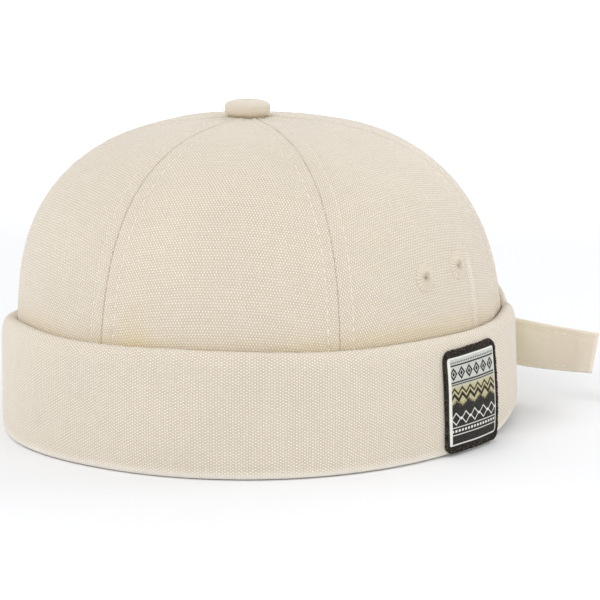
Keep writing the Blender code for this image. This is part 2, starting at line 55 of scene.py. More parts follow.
# Crown, cuff, strap, tab and slide, with the solids' measures
CROWN_WIDTH, CROWN_LENGTH, CROWN_HEIGHT, CROWN_WALL = 0.176, 0.192, 0.1195, 0.0014
OVAL_POWER = 2.19
DOME_START, DOME_POWER_UP, DOME_POWER_OUT = 0.018, 3.06, 2.61
APEX_LEAN, LEAN_POWER, TIP_RADIUS = 0.0078, 1.8, 0.003
SEAM_DIP, SEAM_DIP_REACH = 0.0005, 0.005
SEAM_DRIFT, SEAM_DRIFT_FROM = 0.010, 0.35
FRONT_PANEL_WIDTH, BACK_PANEL_WIDTH = 0.094, 0.096
CUFF_HEIGHT, CUFF_WALL, CUFF_PLAY, CUFF_BULGE = 0.046, 0.0022, 0.0018, 0.0006
CUFF_ROLL, CUFF_ROLL_IN, CUFF_DROP = 0.007, 0.0024, 0.0042
CUFF_HIGH_ANGLE = math.radians(45)
CUFF_RETURN, CUFF_END_RADIUS = 0.0018, 0.006
CUFF_WAVE, CUFF_WAVES, CUFF_WAVE_ANGLE = 0.0007, 5, math.radians(31)
GAP_WIDTH, ARCH_WIDTH, ARCH_HEIGHT = 0.060, 0.066, 0.054
STRAP_WIDTH, STRAP_THICKNESS, STRAP_ANCHOR = 0.018, 0.002, 0.020
TAIL_LENGTH, TAIL_TURN, TAIL_DROP, TAIL_SLANT = 0.064, math.radians(24), 0.0009, 0.003
TAB_THICKNESS, TAB_INSET, TAB_ANCHOR = 0.0014, 0.001, 0.014
SLIDE_BAR, SLIDE_PITCH, SLIDE_PLAY = 0.0018, 0.010, 0.0005
SLIDE_FROM_GAP_END, SLIDE_CORNER, SLIDE_BEVEL = 0.017, 0.002, 0.00035
CUFF_STANDOFF = STRAP_THICKNESS + CUFF_PLAY
CUFF_OUTSIDE = CUFF_STANDOFF + CUFF_WALL
LOOP_HOLE = SLIDE_BAR / 2 * math.sqrt(2) + CLEARANCE
LOOP_RADIUS = LOOP_HOLE + TAB_THICKNESS

# Patch, button and eyelets, a little finer than the solids
PATCH_WIDTH, PATCH_HEIGHT, PATCH_FOOT = 0.0370, 0.0396, 0.0007
PATCH_BEHIND_SIDE, PATCH_LEAN, PATCH_SIDE = 0.0053, 0.0031, 0.66
PATCH_CORNER, PATCH_BORDER, PATCH_THICKNESS, BORDER_THICKNESS = 0.0040, 0.0021, 0.0007, 0.0012
BUTTON_DIAMETER, BUTTON_HEIGHT, BUTTON_POWER = 0.0174, 0.0066, 2.7
EYELET_DIAMETER, EYELET_HOLE = 0.0076, 0.0006
EYELET_SPACING, EYELET_HEIGHT, EYELETS_BEHIND_SIDE = 0.0225, 0.0667, 0.0024
EYELET_BACK_RISE, PANEL_HOLE, PUSHED_TO, PUSHED_WITHIN = 0.0013, 0.0013, 0.0020, 0.0032

# Sewing; a row's sink is how deep and how wide the cloth is drawn in under its stitches
ROW_LOW, ROW_HIGH, ROW_SINK = 0.0048, 0.0056, (0.00020, 0.0008)
STITCH_LENGTH, STITCH_PITCH, STITCH_WIDTH = 0.0028, 0.0037, 0.00044
GROOVE_DEPTH, GROOVE_WIDTH, ALLOWANCE_RISE = 0.00050, 0.00028, 0.00018
PUCKER_RISE, PUCKER_PITCH, PUCKER_WIDTH = 0.00011, 0.0078, 0.0028
BINDING_WIDTH, BINDING_LIFT, BINDING_FOLD, BINDING_FLAT = 0.0075, 0.0010, 0.0009, 0.0006
BINDING_INSIDE, BINDING_ROW, BINDING_SINK = 0.0008, 0.0058, (0.0002, 0.0007)
TAPE_WIDTH, TAPE_THICKNESS, TAPE_RISE, TAPE_TOP = 0.013, 0.0005, 0.0004, 0.955
TAPE_ROW, TAPE_SINK = 0.0048, (0.0002, 0.0006)
BAND_TOP, BAND_THICKNESS, BAND_PLAY, BAND_FROM_MIDDLE = 0.030, 0.0011, 0.0006, 0.043
BAND_ROW, BAND_PUFF, BAND_WAVE = 0.0022, 0.0006, 0.0002
STRAP_ROW, STRAP_SINK, STRAP_HEM, STRAP_HEM_LENGTH = 0.0023, (0.00018, 0.0008), 0.0006, 0.0095

# The worn cuff's slow forms: how deep, and the lengths at which each starts, is full, fades and ends
FOOT_ARCH, FOOT_ARCH_SPAN = 0.0050, (0.160, 0.205, 0.228, 0.257)
WALL_LEAN, WALL_LEAN_SPAN = 0.0013, (0.150, 0.198, 0.222, 0.256)
SIDE_SAG, SIDE_SAG_SPAN = 0.0027, (0.109, 0.172, 0.181, 0.208)
ROLL_FOLLOWS, ROLL_FOLLOWS_SPAN = 0.85, (0.150, 0.178, 0.218, 0.236)
TOP_CREST, CREST_LEFT = 0.0056, 0.45
ROLL_GAP, FOOT_RADIUS = 0.0002, CUFF_RETURN + 0.0008
ROLL_TURN, FOOT_TURN = math.radians(78), math.radians(82)
RIGHT_OPENS, LEFT_OPENS, RIM_OPENS, RIM_FILL = (0.222, 0.236), (0.218, 0.236), (0.118, 0.165), 0.93
RIM_FROM, CREST_FROM, CREST_BACK = (0.038, 0.044), np.radians((137, 146)), np.radians((147, 164))
RIM_RISE, DROP_FROM = 0.0003, (0.3, 0.65)
RIM_SWELLS = ((0.006, (0.0006, 0.028)), (0.029, (0.0004, 0.014)))
CUFF_WAVE_RISE, FOOT_DIP_HEIGHT, FOOT_DIP = 0.00022, 0.0033, (0.00028, 0.0008)
END_ROW, END_ROW_LOW, END_ROW_HIGH = 0.006, 0.003, 0.0385

# The worn crown: a pressed fold, a mound under the button and a stain, with a painted highlight
# along the fold and painted warm shade in the crease over the cuff; the pairs are a rise and a width
FOLD_LENGTH, FOLD_TILT, FOLD_LOW, FOLD_HIGH = 0.1672, 0.0166, 0.215, 0.400
FOLD, FOLD_SIDE, FOLD_SIDE_DIP = (0.0007, 0.0014), 0.0038, (0.0003, 0.0016)
# A painted highlight along the fold's ridge: how strong and how wide
FOLD_PAINTED_HIGHLIGHT, FOLD_HIGHLIGHT_WIDTH = 0.45, 0.0015
MOUND, STAIN = (0.0007, 0.0105), (0.36, 0.006)
STAIN_LENGTH, STAIN_FROM, STAIN_RISE = 0.0145, 0.050, 0.013
# Painted warm shade in the crease where the crown meets the cuff, and how far up it reaches
CREASE_PAINTED_SHADE, CREASE_RISE = 0.5, 0.005

# Slow waves in the crown: size, then factors of turn and climb and the phase, then what they swell with
WAVE_RISE = 0.00020
CROWN_WAVES = (
    (1.0, (3, 21, 0.6), (26, 1.1)),
    (0.7, (5, -34, 2.2), (37, 0.4)),
    (0.5, (9, 44, 4.0), (0, math.pi / 2)),
)

# Dents in the crown: angle, share, how far they spread in both, and depth in crown walls
CROWN_DENTS = (
    (math.radians(-70), 0.66, 0.5, 0.12, 0.2),
    (math.radians(-75), 0.37, 0.5, 0.13, -0.8),
    (math.radians(127), 0.86, 0.6, 0.10, 0.2),
)

# The warp's and weft's pitch
CROWN_YARNS = (0.00054, 0.00104)
CUFF_YARNS = (0.00056, 0.00099)
STRAP_YARNS = (0.00045, 0.0007)
BUTTON_YARNS = (0.00042, 0.00062)


# Meshes


def stacked(*values):
    """The values side by side along a new last axis."""
    return np.stack(np.broadcast_arrays(*values), -1)


def unit(ways):
    """The ways at a length of 1."""
    return ways / np.linalg.norm(ways, axis=-1, keepdims=True)


def run_of(path):
    """The distance along a path at each of its points."""
    return np.concatenate([[0], np.cumsum(np.linalg.norm(np.diff(path, axis=0), axis=1))])


def along_path(path, run, spots):
    """A path's points at distances from its start."""
    return np.stack([np.interp(spots, run, values) for values in path.T], -1)


def hump(value, width):
    return np.exp(-((value / width) ** 2))


def swell(value, form):
    """A hump over 0, of a rise and a width."""
    return form[0] * hump(value, form[1])


def step_between(value, low, high):
    """A smooth step from 0 at low to 1 at high."""
    share = np.clip((value - low) / (high - low), 0, 1)
    return share**2 * (3 - 2 * share)


def span_at(value, start, full, fading, end):
    """0 up to the start, 1 from full to fading, and 0 again from the end on."""
    return step_between(value, start, full) * (1 - step_between(value, fading, end))


def yarn_counts(yarns, across, up, tint=0.0):
    return stacked(across / yarns[0], up / yarns[1], tint)


def mesh_of(name, points, faces, cloth=None, sharp=50):
    """A smooth-shaded mesh without loose points; cloth is stored for the materials."""
    kept, back = np.unique(np.concatenate([np.ravel(group) for group in faces]), return_inverse=True)
    starts = np.cumsum([0] + [len(face) for group in faces for face in group])
    listed = [back[a:b].tolist() for a, b in zip(starts, starts[1:])]
    made = bpy.data.meshes.new(name)
    made.from_pydata(points.reshape(-1, 3)[kept].tolist(), [], listed)
    made.validate()
    if cloth is not None:
        stored = made.attributes.new("cloth", "FLOAT_VECTOR", "POINT")
        stored.data.foreach_set("vector", cloth.reshape(-1, 3)[kept].astype(np.float32).ravel())
    made.shade_smooth()
    made.set_sharp_from_angle(angle=math.radians(sharp))
    return made


def add(data):
    made = bpy.data.objects.new(data.name, data)
    bpy.context.scene.collection.objects.link(made)
    return made


def put(data, look, slot, *nodes):
    """The piece as an object that rides on the cap's one body and stands for the named solids."""
    made = add(data)
    made.data.materials.append(look)
    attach(made, "root")
    if nodes:
        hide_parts(*nodes)
    return made


def cells(rows, columns, closed=False, ring=False):
    """The four-cornered faces of a grid of points, which face right-hand round, as (row, column, 4)."""
    index = np.arange(rows * columns).reshape(rows, columns)
    if closed:
        index = np.concatenate([index, index[:, :1]], 1)
    if ring:
        index = np.concatenate([index, index[:1]])
    return np.stack([index[:-1, :-1], index[:-1, 1:], index[1:, 1:], index[1:, :-1]], -1)


def shell(name, outer, inner, cloth, keep=None):
    """A closed wall between two grids of points."""
    rows, columns = outer.shape[:2]
    count = rows * columns
    faces = cells(rows, columns)
    front = faces.reshape(-1, 4) if keep is None else faces[keep]
    ends = np.stack([front, np.roll(front, -1, 1)], -1).reshape(-1, 2)
    alone = ~np.isin(ends[:, 0] * count + ends[:, 1], ends[:, 1] * count + ends[:, 0])
    p, q = ends[alone].T
    rim = np.stack([q, p, p + count, q + count], -1)
    faces = [front, front[:, ::-1] + count, rim]
    return mesh_of(name, np.stack([outer, inner]), faces, np.stack([cloth, cloth]))


def tube_ends(rows, columns):
    """The two flat faces that close a tube made of rings."""
    first = np.arange(columns)
    return [first[None, ::-1], (first + (rows - 1) * columns)[None]]


def face_outwards(mesh):
    """Turns the faces of closed pieces outwards."""
    made = bmesh.new()
    made.from_mesh(mesh)
    bmesh.ops.recalc_face_normals(made, faces=made.faces)
    made.to_mesh(mesh)
    made.free()
    return mesh


def tube(name, points, cloth=None, sharp=50, ring=False):
    """A tube through rows of points, with flat ends or joined end to end as a ring."""
    rows, columns = points.shape[:2]
    faces = [cells(rows, columns, True, ring).reshape(-1, 4)]
    if not ring:
        faces += tube_ends(rows, columns)
    return face_outwards(mesh_of(name, points, faces, cloth, sharp))


# The crown's surface


def spread(value):
    return np.sign(value) * np.abs(value) ** (2 / OVAL_POWER)


def oval_point(reach, angle):
    x = CROWN_WIDTH / 2 * reach * spread(np.sin(angle))
    return stacked(x, -CROWN_LENGTH / 2 * reach * spread(np.cos(angle)))


def oval_normal(angle):
    size = np.array([CROWN_WIDTH, CROWN_LENGTH])
    point = oval_point(1, angle)
    return unit(np.sign(point) * np.abs(point / size) ** (OVAL_POWER - 1) / size)


SAMPLES = 4000
OVAL_ANGLES = np.linspace(0, TURN, SAMPLES + 1)
OVAL_LENGTHS = run_of(oval_point(1, OVAL_ANGLES))
PERIMETER = float(OVAL_LENGTHS[-1])
GAP_LEFT, GAP_RIGHT = PERIMETER / 2 - GAP_WIDTH / 2, PERIMETER / 2 + GAP_WIDTH / 2


def angle_at(length):
    turns = np.floor(length / PERIMETER)
    return np.interp(length - turns * PERIMETER, OVAL_LENGTHS, OVAL_ANGLES) + turns * TURN


def meridian():
    """Share, reach and height down a table of the crown's profile, and the profile's length."""
    climbs = np.linspace(0, math.pi / 2, SAMPLES)
    rise = np.sin(climbs) ** (2 / DOME_POWER_UP)
    reach = np.clip(np.cos(climbs), 0, 1) ** (2 / DOME_POWER_OUT)
    height = DOME_START + rise * (CROWN_HEIGHT - DOME_START)
    kept = reach * CROWN_LENGTH / 2 >= TIP_RADIUS
    reach = np.concatenate([[1], reach[kept]])
    height = np.concatenate([[CUFF_RETURN + CLEARANCE], height[kept]])
    steps = np.hypot(np.diff(reach) * CROWN_LENGTH / 2, np.diff(height))
    along = np.concatenate([[0], np.cumsum(steps)])
    return along / along[-1], reach, height, float(along[-1])


SHARES, REACHES, HEIGHTS, CLIMB = meridian()


def reach_at(share):
    return np.interp(share, SHARES, REACHES)


def share_at(height):
    return np.interp(height, HEIGHTS, SHARES)


def smooth_crown(length, share):
    height = np.interp(share, SHARES, HEIGHTS)
    rise = np.clip((height - DOME_START) / (CROWN_HEIGHT - DOME_START), 0, None)
    plan = oval_point(reach_at(share), angle_at(length))
    return stacked(plan[..., 0], plan[..., 1] - APEX_LEAN * rise**LEAN_POWER, height)


def crown_out(length, share):
    """The way out of the crown's surface."""
    aside, step = 0.0004, 0.004
    low, high = np.clip(share - step, 0, 1), np.clip(share + step, 0, 1)
    round_it = smooth_crown(length + aside, share) - smooth_crown(length - aside, share)
    return unit(np.cross(round_it, smooth_crown(length, high) - smooth_crown(length, low)))


def seam_length(seam):
    to_left = [0, FRONT_PANEL_WIDTH, PERIMETER / 2 - BACK_PANEL_WIDTH, PERIMETER / 2]
    return to_left[seam] if seam < 4 else PERIMETER - to_left[6 - seam]


def drift(share):
    """How far the seams have moved towards the left on their way to the apex."""
    return SEAM_DRIFT * (share - SEAM_DRIFT_FROM)


def row_scale(share):
    """The rows of stitches draw in to the seams near the button."""
    return np.minimum(1, reach_at(share) / 0.16)


def seam_relief(length, share):
    """The groove, the pressed-open seam allowance, the sunk rows of stitches and the puckers."""
    seams = np.array([seam_length(seam) for seam in range(6)])
    gap = (np.asarray(length - drift(share))[..., None] - seams + PERIMETER / 2) % PERIMETER
    gap = (gap - PERIMETER / 2) * reach_at(share)[..., None]
    nearest = np.abs(gap).argmin(-1)
    aside = np.take_along_axis(gap, nearest[..., None], -1)[..., 0]
    row = np.where(aside < 0, ROW_LOW, ROW_HIGH) * row_scale(share)
    away, climb = np.abs(aside), share * CLIMB
    pucker = np.sin(TURN * climb / PUCKER_PITCH + 1.7 * nearest + 1.3 * np.sin(climb * 83 + nearest))
    pucker *= 0.7 + 0.3 * np.sin(climb * 230 + aside * 400)
    return (
        -SEAM_DIP / 2 * hump(aside, SEAM_DIP_REACH)
        - GROOVE_DEPTH * np.exp(-away / GROOVE_WIDTH)
        + ALLOWANCE_RISE * hump(away - row * 0.52, row * 0.42)
        - swell(away - row, ROW_SINK)
        + PUCKER_RISE * pucker * hump(away - row * 0.85, PUCKER_WIDTH)
    )


def foot_arch(length):
    """How far the cuff's foot stands off the floor; it arches up at the left back."""
    return FOOT_ARCH * span_at(length, *FOOT_ARCH_SPAN)


def fold_at(length, share):
    """How much of the pressed fold behind the eyelets is left, and the distance from it."""
    beside = (length - FOLD_LENGTH - FOLD_TILT * (share - FOLD_LOW)) * reach_at(share)
    return np.clip((share - FOLD_LOW) / 0.03, 0, 1) * np.clip((FOLD_HIGH - share) / 0.04, 0, 1), beside


def crown_tint(length, share):
    """Painted warm shade in the crease over the cuff, one stain above it, a painted highlight on the
    fold.
    """
    height = np.interp(share, SHARES, HEIGHTS)
    fade, beside = fold_at(length, share)
    uneven = 0.75 + 0.25 * np.sin(length * 61 + 2 * np.sin(length * 23))
    stain = swell(length - STAIN_LENGTH, STAIN) * hump(np.maximum(height - STAIN_FROM, 0), STAIN_RISE)
    # Painted warm shade: the crown is yellowed just above the cuff's rim, where the crease lies in shade
    crease_shade = CREASE_PAINTED_SHADE * uneven * hump(np.maximum(height - CUFF_HEIGHT, 0), CREASE_RISE)
    # The fold's ridge is painted paler, a painted highlight
    return stain + crease_shade - FOLD_PAINTED_HIGHLIGHT * fade * hump(beside, FOLD_HIGHLIGHT_WIDTH)


def crown_waves(length, share):
    """Slow, shallow unevenness of the worn cloth, and a soft fold behind the eyelets."""
    angle, climb = length / PERIMETER * TURN, share * CLIMB
    slow = sum(
        size * np.sin(turned * angle + climbed * climb + phase) * np.sin(swell * climb + swell_phase)
        for size, (turned, climbed, phase), (swell, swell_phase) in CROWN_WAVES
    )
    fade, beside = fold_at(length, share)
    fold = swell(beside, FOLD) - swell(np.abs(beside) - FOLD_SIDE, FOLD_SIDE_DIP)
    mound = swell(reach_at(share) * CROWN_LENGTH / 2, MOUND)
    return WAVE_RISE * slow * np.clip((climb - 0.03) / 0.03, 0, 1) + fade * fold + mound


def dents_at(length, share):
    depth = 0
    for angle, dent_share, across, up, walls in CROWN_DENTS:
        aside = (angle_at(length) - angle + math.pi) % TURN - math.pi
        depth = depth + CROWN_WALL * walls * hump(aside, across) * hump(share - dent_share, up)
    return depth


def crown_at(length, share, lift=0.0, seams=True):
    """Points on the sewn crown, lifted off its outside."""
    raised = crown_waves(length, share) - dents_at(length, share) + lift
    if seams:
        raised = raised + seam_relief(length, share)
    return smooth_crown(length, share) + crown_out(length, share) * raised[..., None]


# Materials


def maths(operation):
    """A method that makes the maths node of an operation."""
    return lambda self, *others: self.look.math(operation, self, *others)


class Value:
    """What a node gives; sums of values make the nodes that work them out."""

    __add__, __sub__, __mul__ = maths("ADD"), maths("SUBTRACT"), maths("MULTIPLY")
    __pow__, __abs__, at_least = maths("POWER"), maths("ABSOLUTE"), maths("MAXIMUM")
    floor, sine, times_add = maths("FLOOR"), maths("SINE"), maths("MULTIPLY_ADD")

    def __init__(self, look, socket):
        self.look, self.socket = look, socket

    def __rsub__(self, other):
        return self.look.math("SUBTRACT", other, self)


class Look:
    """A material's nodes, made in the order in which they feed each other."""

    def __init__(self, name, values):
        self.material = bpy.data.materials.new(name)
        self.material.use_nodes = True
        self.tree = self.material.node_tree
        self.shader = self.tree.nodes["Principled BSDF"]
        for key, value in values.items():
            self.shader.inputs[key].default_value = value

    def feed(self, socket, value):
        if isinstance(value, Value):
            self.tree.links.new(value.socket, socket)
        elif value is not None:
            socket.default_value = value

    def node(self, kind, values=(), out=0, **settings):
        """A new node, whose first inputs are fed with the values, and one of its outputs."""
        made = self.tree.nodes.new(kind)
        for key, value in settings.items():
            setattr(made, key, value)
        for socket, value in zip(made.inputs, values):
            self.feed(socket, value)
        return Value(self, made.outputs[out])

    def math(self, operation, *values):
        return self.node("ShaderNodeMath", values, operation=operation)

    def vector(self, operation, *values):
        return self.node("ShaderNodeVectorMath", values, operation=operation)

    def cloth(self):
        settings = {"attribute_name": "cloth", "attribute_type": "GEOMETRY"}
        return self.node("ShaderNodeAttribute", out="Vector", **settings)

    def split(self, vector):
        parts = self.node("ShaderNodeSeparateXYZ", (vector,)).socket.node.outputs
        return [Value(self, socket) for socket in parts]

    def join(self, x, y, z=0.0):
        return self.node("ShaderNodeCombineXYZ", (x, y, z))

    def place(self):
        return self.node("ShaderNodeTexCoord", out="Object")

    def noise(self, vector, scale, detail=2.0, rough=0.6, out="Fac"):
        return self.node("ShaderNodeTexNoise", (vector, None, scale, detail, rough), out)

    def ramp(self, value, low, high, to_low=0.0, to_high=1.0):
        values = (value, low, high, to_low, to_high)
        return self.node("ShaderNodeMapRange", values, interpolation_type="SMOOTHSTEP")

    def mix(self, share, low, high, way="MIX"):
        values = (share, *[None] * 5, low, high)
        return self.node("ShaderNodeMix", values, 2, data_type="RGBA", blend_type=way)

    def shade(self, colour, amount):
        """The colour times an amount near 1."""
        grey = self.node("ShaderNodeCombineColor", (amount, amount, amount))
        return self.mix(1.0, colour, grey, "MULTIPLY")

    def finish(self, colour, rough, height=None, relief=0.0):
        """The material, with bumps of a height in shares of the relief."""
        self.feed(self.shader.inputs["Base Color"], colour)
        self.feed(self.shader.inputs["Roughness"], rough)
        if height is not None:
            bump = self.tree.nodes.new("ShaderNodeBump")
            bump.inputs["Distance"].default_value = relief
            self.feed(bump.inputs["Height"], height)
            self.tree.links.new(bump.outputs[0], self.shader.inputs["Normal"])
        return self.material


def soft(sheen, sheen_rough, specular):
    """The shader's uniform values for cloth or thread."""
    return {"Sheen Weight": sheen, "Sheen Roughness": sheen_rough, "Specular IOR Level": specular}


def rgb(*levels):
    """An sRGB colour of 0 to 255 as the shader wants it."""
    shares = [level / 255 for level in levels]
    return (*(s / 12.92 if s <= 0.04045 else ((s + 0.055) / 1.055) ** 2.4 for s in shares), 1)


# The colour that yellows the cloth: one stain, and painted warm shade in the crease and under the button
STAIN_AND_WARM_SHADE = (1.0, 0.92, 0.73, 1.0)


def canvas_look(name, yarn, gap, depth, strength, wear_and_painted_light=None):
    """Plain-weave cotton: warp and weft pass over each other in turn, with slubs along each yarn."""
    look = Look(name, soft(0.40, 0.45, 0.25))
    cloth = look.cloth()
    wander = look.vector("SUBTRACT", look.noise(cloth, 0.16, out="Color"), (0.5, 0.5, 0.5))
    cloth = look.vector("MULTIPLY_ADD", wander, (0.7, 0.7, 0), cloth)
    x, y, tint = look.split(cloth)
    over = (x * math.pi).sine() * (y * math.pi).sine()
    warp = over.at_least(0.0) ** 0.9
    weft = (over * -1.0).at_least(0.0) ** 0.6
    weft_slub = look.noise(look.join(x * 0.05, y.floor() * 3.7), 1.0, 3.0)
    warp_slub = look.noise(look.join(x.floor() * 4.3, y * 0.06), 1.0, 3.0)
    slub = weft_slub * 0.55 + warp_slub * 0.45
    grain = warp + weft * look.ramp(slub, 0.35, 0.65, 0.18, 0.34)
    fuzz = look.noise(look.place(), 9000.0)
    uneven = look.ramp(look.noise(cloth, 0.83, rough=0.5), 0.3, 0.7, 0.78, 1.12)
    # The weave runs from the gap colour, painted shade in the hollows between yarns, up to the yarn
    # colour on their crowns
    shown = look.ramp(grain, 0.0, 0.85) * uneven * strength + (1.0 - strength)
    colour = look.mix(shown, gap, yarn)
    # Above 0 the third number yellows the colour: a stain, and painted warm shade
    colour = look.mix(tint.at_least(0.0), colour, STAIN_AND_WARM_SHADE, "MULTIPLY")
    # Below 0 it paints the colour paler, towards a given paler colour, else the yarn colour: painted
    # highlights and painted light in shade
    colour = look.mix((tint * -0.8).at_least(0.0), colour, wear_and_painted_light or yarn)
    cloud = look.noise(look.place(), 38.0, 4.0)
    shaded = [look.ramp(value, 0.3, 0.7, 0.985, 1.012) for value in (slub, cloud)]
    colour = look.shade(colour, shaded[0] * shaded[1])
    return look.finish(colour, look.ramp(grain, 0.0, 1.0, 0.98, 0.84), grain + fuzz * 0.25, depth)


def thread_look(name, colour, twist=2600.0):
    """Twisted sewing thread."""
    look = Look(name, soft(0.2, 0.35, 0.35))
    x, y, z = look.split(look.place())
    ply = ((x + y + z) * (twist * TURN / 2)).sine().times_add(0.5, 0.5)
    fuzz = look.noise(look.place(), 5200.0)
    height = fuzz.times_add(0.6, ply)
    shaded = look.shade(colour, look.ramp(height, 0.2, 1.4, 0.90, 1.03))
    return look.finish(shaded, look.ramp(fuzz, 0.3, 0.7, 0.6, 0.8), height, 0.00005)


def label_look():
    """Damask label: grey, straw and black grounds with woven diamonds, zigzags and bars.

    Its cloth is in mm: across and up from the patch's middle, and in from the weave's edge.
    """
    look = Look("label_weave", soft(0.04, 0.3, 0.25))
    x, y, edge = look.split(look.cloth())
    grey, straw, black = rgb(200, 202, 196), rgb(190, 181, 138), rgb(20, 19, 18)
    pale, fleck, lint, rib = rgb(232, 230, 222), rgb(84, 80, 66), rgb(150, 147, 134), rgb(96, 92, 80)
    repeat, lower_repeat = 5.2, 6.24
    ink_lines = ((13.9, 0.3), (7.4, 0.3), (6.5, 0.22))
    pale_rails = ((-12.8, 0.16), (-9.9, 0.16))

    def wave(value, period):
        """A triangle wave from 0 to half the period."""
        return look.math("PINGPONG", value, period / 2)

    def inside(value, reach, blur=0.12):
        return look.ramp(value, reach + blur, reach - blur)

    def line_at(height, half):
        return inside(abs(y - height), half)

    def any_of(first, *masks):
        for mask in masks:
            first = first.at_least(mask)
        return first

    def speckle(across, up, detail=3.0, rough=0.7):
        return look.noise(look.join(x * across, y * up), 1.0, detail, rough)

    rough_y = (speckle(1.6, 2.4) - 0.5).times_add(5.0, y)
    ground = look.mix(look.ramp(rough_y, 4.2, 7.6), straw, grey)
    ground = look.mix(look.ramp(speckle(2.6, 1.7), 0.52, 0.68, 0.0, 0.75), ground, fleck)
    dark_zone = look.ramp(rough_y - wave(x, 7.8) * 0.55, -1.1, -2.3)
    ground = look.mix(dark_zone, ground, black)
    linty = look.ramp(speckle(3.1, 2.2, 2.0, 0.6), 0.60, 0.72, 0.0, 0.6)
    ground = look.mix(linty * dark_zone, ground, lint)

    rhomb = wave(x + repeat / 2, repeat) + abs(y - 10.6) * 0.95
    hearts = inside(abs(rhomb - 1.15), 0.25)
    lines = any_of(*(line_at(height, half) for height, half in ink_lines))
    specks = line_at(15.0, 0.3) * inside(wave(x, 1.3), 0.35)
    zig, zag = (abs(y - wave(x, repeat).times_add(0.9, height)) for height in (2.7, 0.4))
    inked = any_of(inside(rhomb, 2.45), lines, specks, inside(zig, 0.5), inside(zag, 0.8))
    inked = inked * (1.0 - hearts)
    colour = look.mix(inked, ground, black)

    low = abs(y - -6.6)
    outline = abs(wave(x, lower_repeat) + low * 1.15 - 2.6)
    seeds = wave(x + lower_repeat / 2, lower_repeat) + low * 1.2
    bars = line_at(-11.3, 0.45) * inside(wave(x, lower_repeat / 3), 0.62)
    rails = any_of(*(line_at(height, half) for height, half in pale_rails))
    pale_marks = any_of(inside(outline, 0.3), inside(seeds, 0.8), bars, rails)
    pale_marks = pale_marks * look.ramp(y, -2.4, -2.8)
    colour = look.mix(pale_marks, colour, pale)
    selvedge = inside(abs(x + 15.6), 0.9) * look.ramp(edge, 0.4, 0.7)
    line = inside(abs(edge - 0.75), 0.3).at_least(selvedge)
    colour = look.mix(inside(edge, 0.4), look.mix(line, colour, pale), black)

    ribs = ((y * (TURN / 0.34)).sine() * (x * (TURN / 0.5)).sine()).times_add(0.5, 0.5)
    colour = look.mix(ribs * 0.07, colour, rib)
    height = ribs + any_of(pale_marks, line, inked) * 0.8
    return look.finish(colour, look.ramp(ribs, 0.0, 1.0, 0.75, 0.6), height, 0.00006)


def overlock_look():
    """Dark overlock thread; cloth x runs round the patch, one unit to a wrap."""
    look = Look("overlock_thread", soft(0.06, 0.35, 0.2))
    x, y = look.split(look.cloth())[:2]
    fuzz = look.noise(look.join(x * 0.8, y), 1.6, 3.0, 0.7)
    colour = look.mix(look.ramp(fuzz, 0.48, 0.66), rgb(17, 15, 13), rgb(104, 92, 77))
    height = look.noise(look.join(x * 4.0, y), 2.0)
    return look.finish(colour, look.ramp(fuzz, 0.3, 0.7, 0.65, 0.85), height, 0.00008)


def steel_look():
    """Satin nickel with fine rubbed lines along the frame and duller, darker patches."""
    look = Look("satin_nickel", {"Metallic": 1.0})
    x, y, z = look.split(look.place())
    lines = look.noise(look.join(x * 0.06, y * 0.06, z), 9000.0, 3.0)
    wear_and_painted_light = look.noise(look.place(), 260.0, 3.0)
    colour = look.mix(look.ramp(wear_and_painted_light, 0.35, 0.7), rgb(188, 183, 172), rgb(158, 152, 140))
    rough = look.ramp(lines.times_add(0.5, wear_and_painted_light), 0.4, 1.1, 0.24, 0.46)
    return look.finish(colour, rough, lines, 0.00003)


def floor_look():
    look = Look("studio_floor", {"Specular IOR Level": 0.2})
    grain = look.noise(look.place(), 900.0, rough=0.5)
    return look.finish(rgb(236, 237, 239), look.ramp(grain, 0.3, 0.7, 0.72, 0.78))


# Crown pieces


def there_and_back(values):
    """The values and then all but the last in reverse."""
    return np.concatenate([values, values[-2::-1]])


# A panel's columns: their shares of the strip beside a seam, then of the rest up to the middle
NEAR = np.array([0, 0.2, 0.45, 0.8, 1.3, 2, 2.8, 3.5, 4.1, 4.7, 5.3, 6, 7.2, 8.6, 10]) / 10
NEAR_STRIP, FAR_COLUMNS = 0.010, 40
FAR = np.arange(1, FAR_COLUMNS + 1) / FAR_COLUMNS
NEAR_PARTS = there_and_back(np.concatenate([NEAR, np.ones(FAR_COLUMNS)]))
FAR_PARTS = there_and_back(np.concatenate([np.zeros(len(NEAR)), FAR]))
PANEL_COLUMNS, PANEL_ROWS = len(NEAR_PARTS), 130


def panel_lengths(first, share):
    """Lengths of a panel's columns at shares of shape (row, column), closer together near seams."""
    start, end = seam_length(first), seam_length(first + 1)
    reach = reach_at(share)
    half = (end - start) / 2 * reach
    near = np.minimum(NEAR_STRIP, half * 0.7)
    aside = near * NEAR_PARTS + (half - near) * FAR_PARTS
    aside = np.where(np.arange(PANEL_COLUMNS) > PANEL_COLUMNS // 2, 2 * half - aside, aside)
    return start + drift(share) + aside / reach


def panel_cloth(first, length, share):
    """Yarn counts of a panel cut as a gore: its middle runs along the warp."""
    middle = (seam_length(first) + seam_length(first + 1)) / 2 + drift(share)
    turned = (length - middle) / (PERIMETER / TURN)
    radius = CLIMB / (math.pi / 2) * 1.02
    climb = share * CLIMB
    rise = climb / radius
    bent = np.arctan2(np.sin(rise), np.cos(rise) * np.cos(turned)) - rise
    counts = yarn_counts(CROWN_YARNS, (length - middle) * reach_at(share), climb + radius * bent)
    return counts + stacked(37.3 * first, 11.7 * first, crown_tint(length, share))


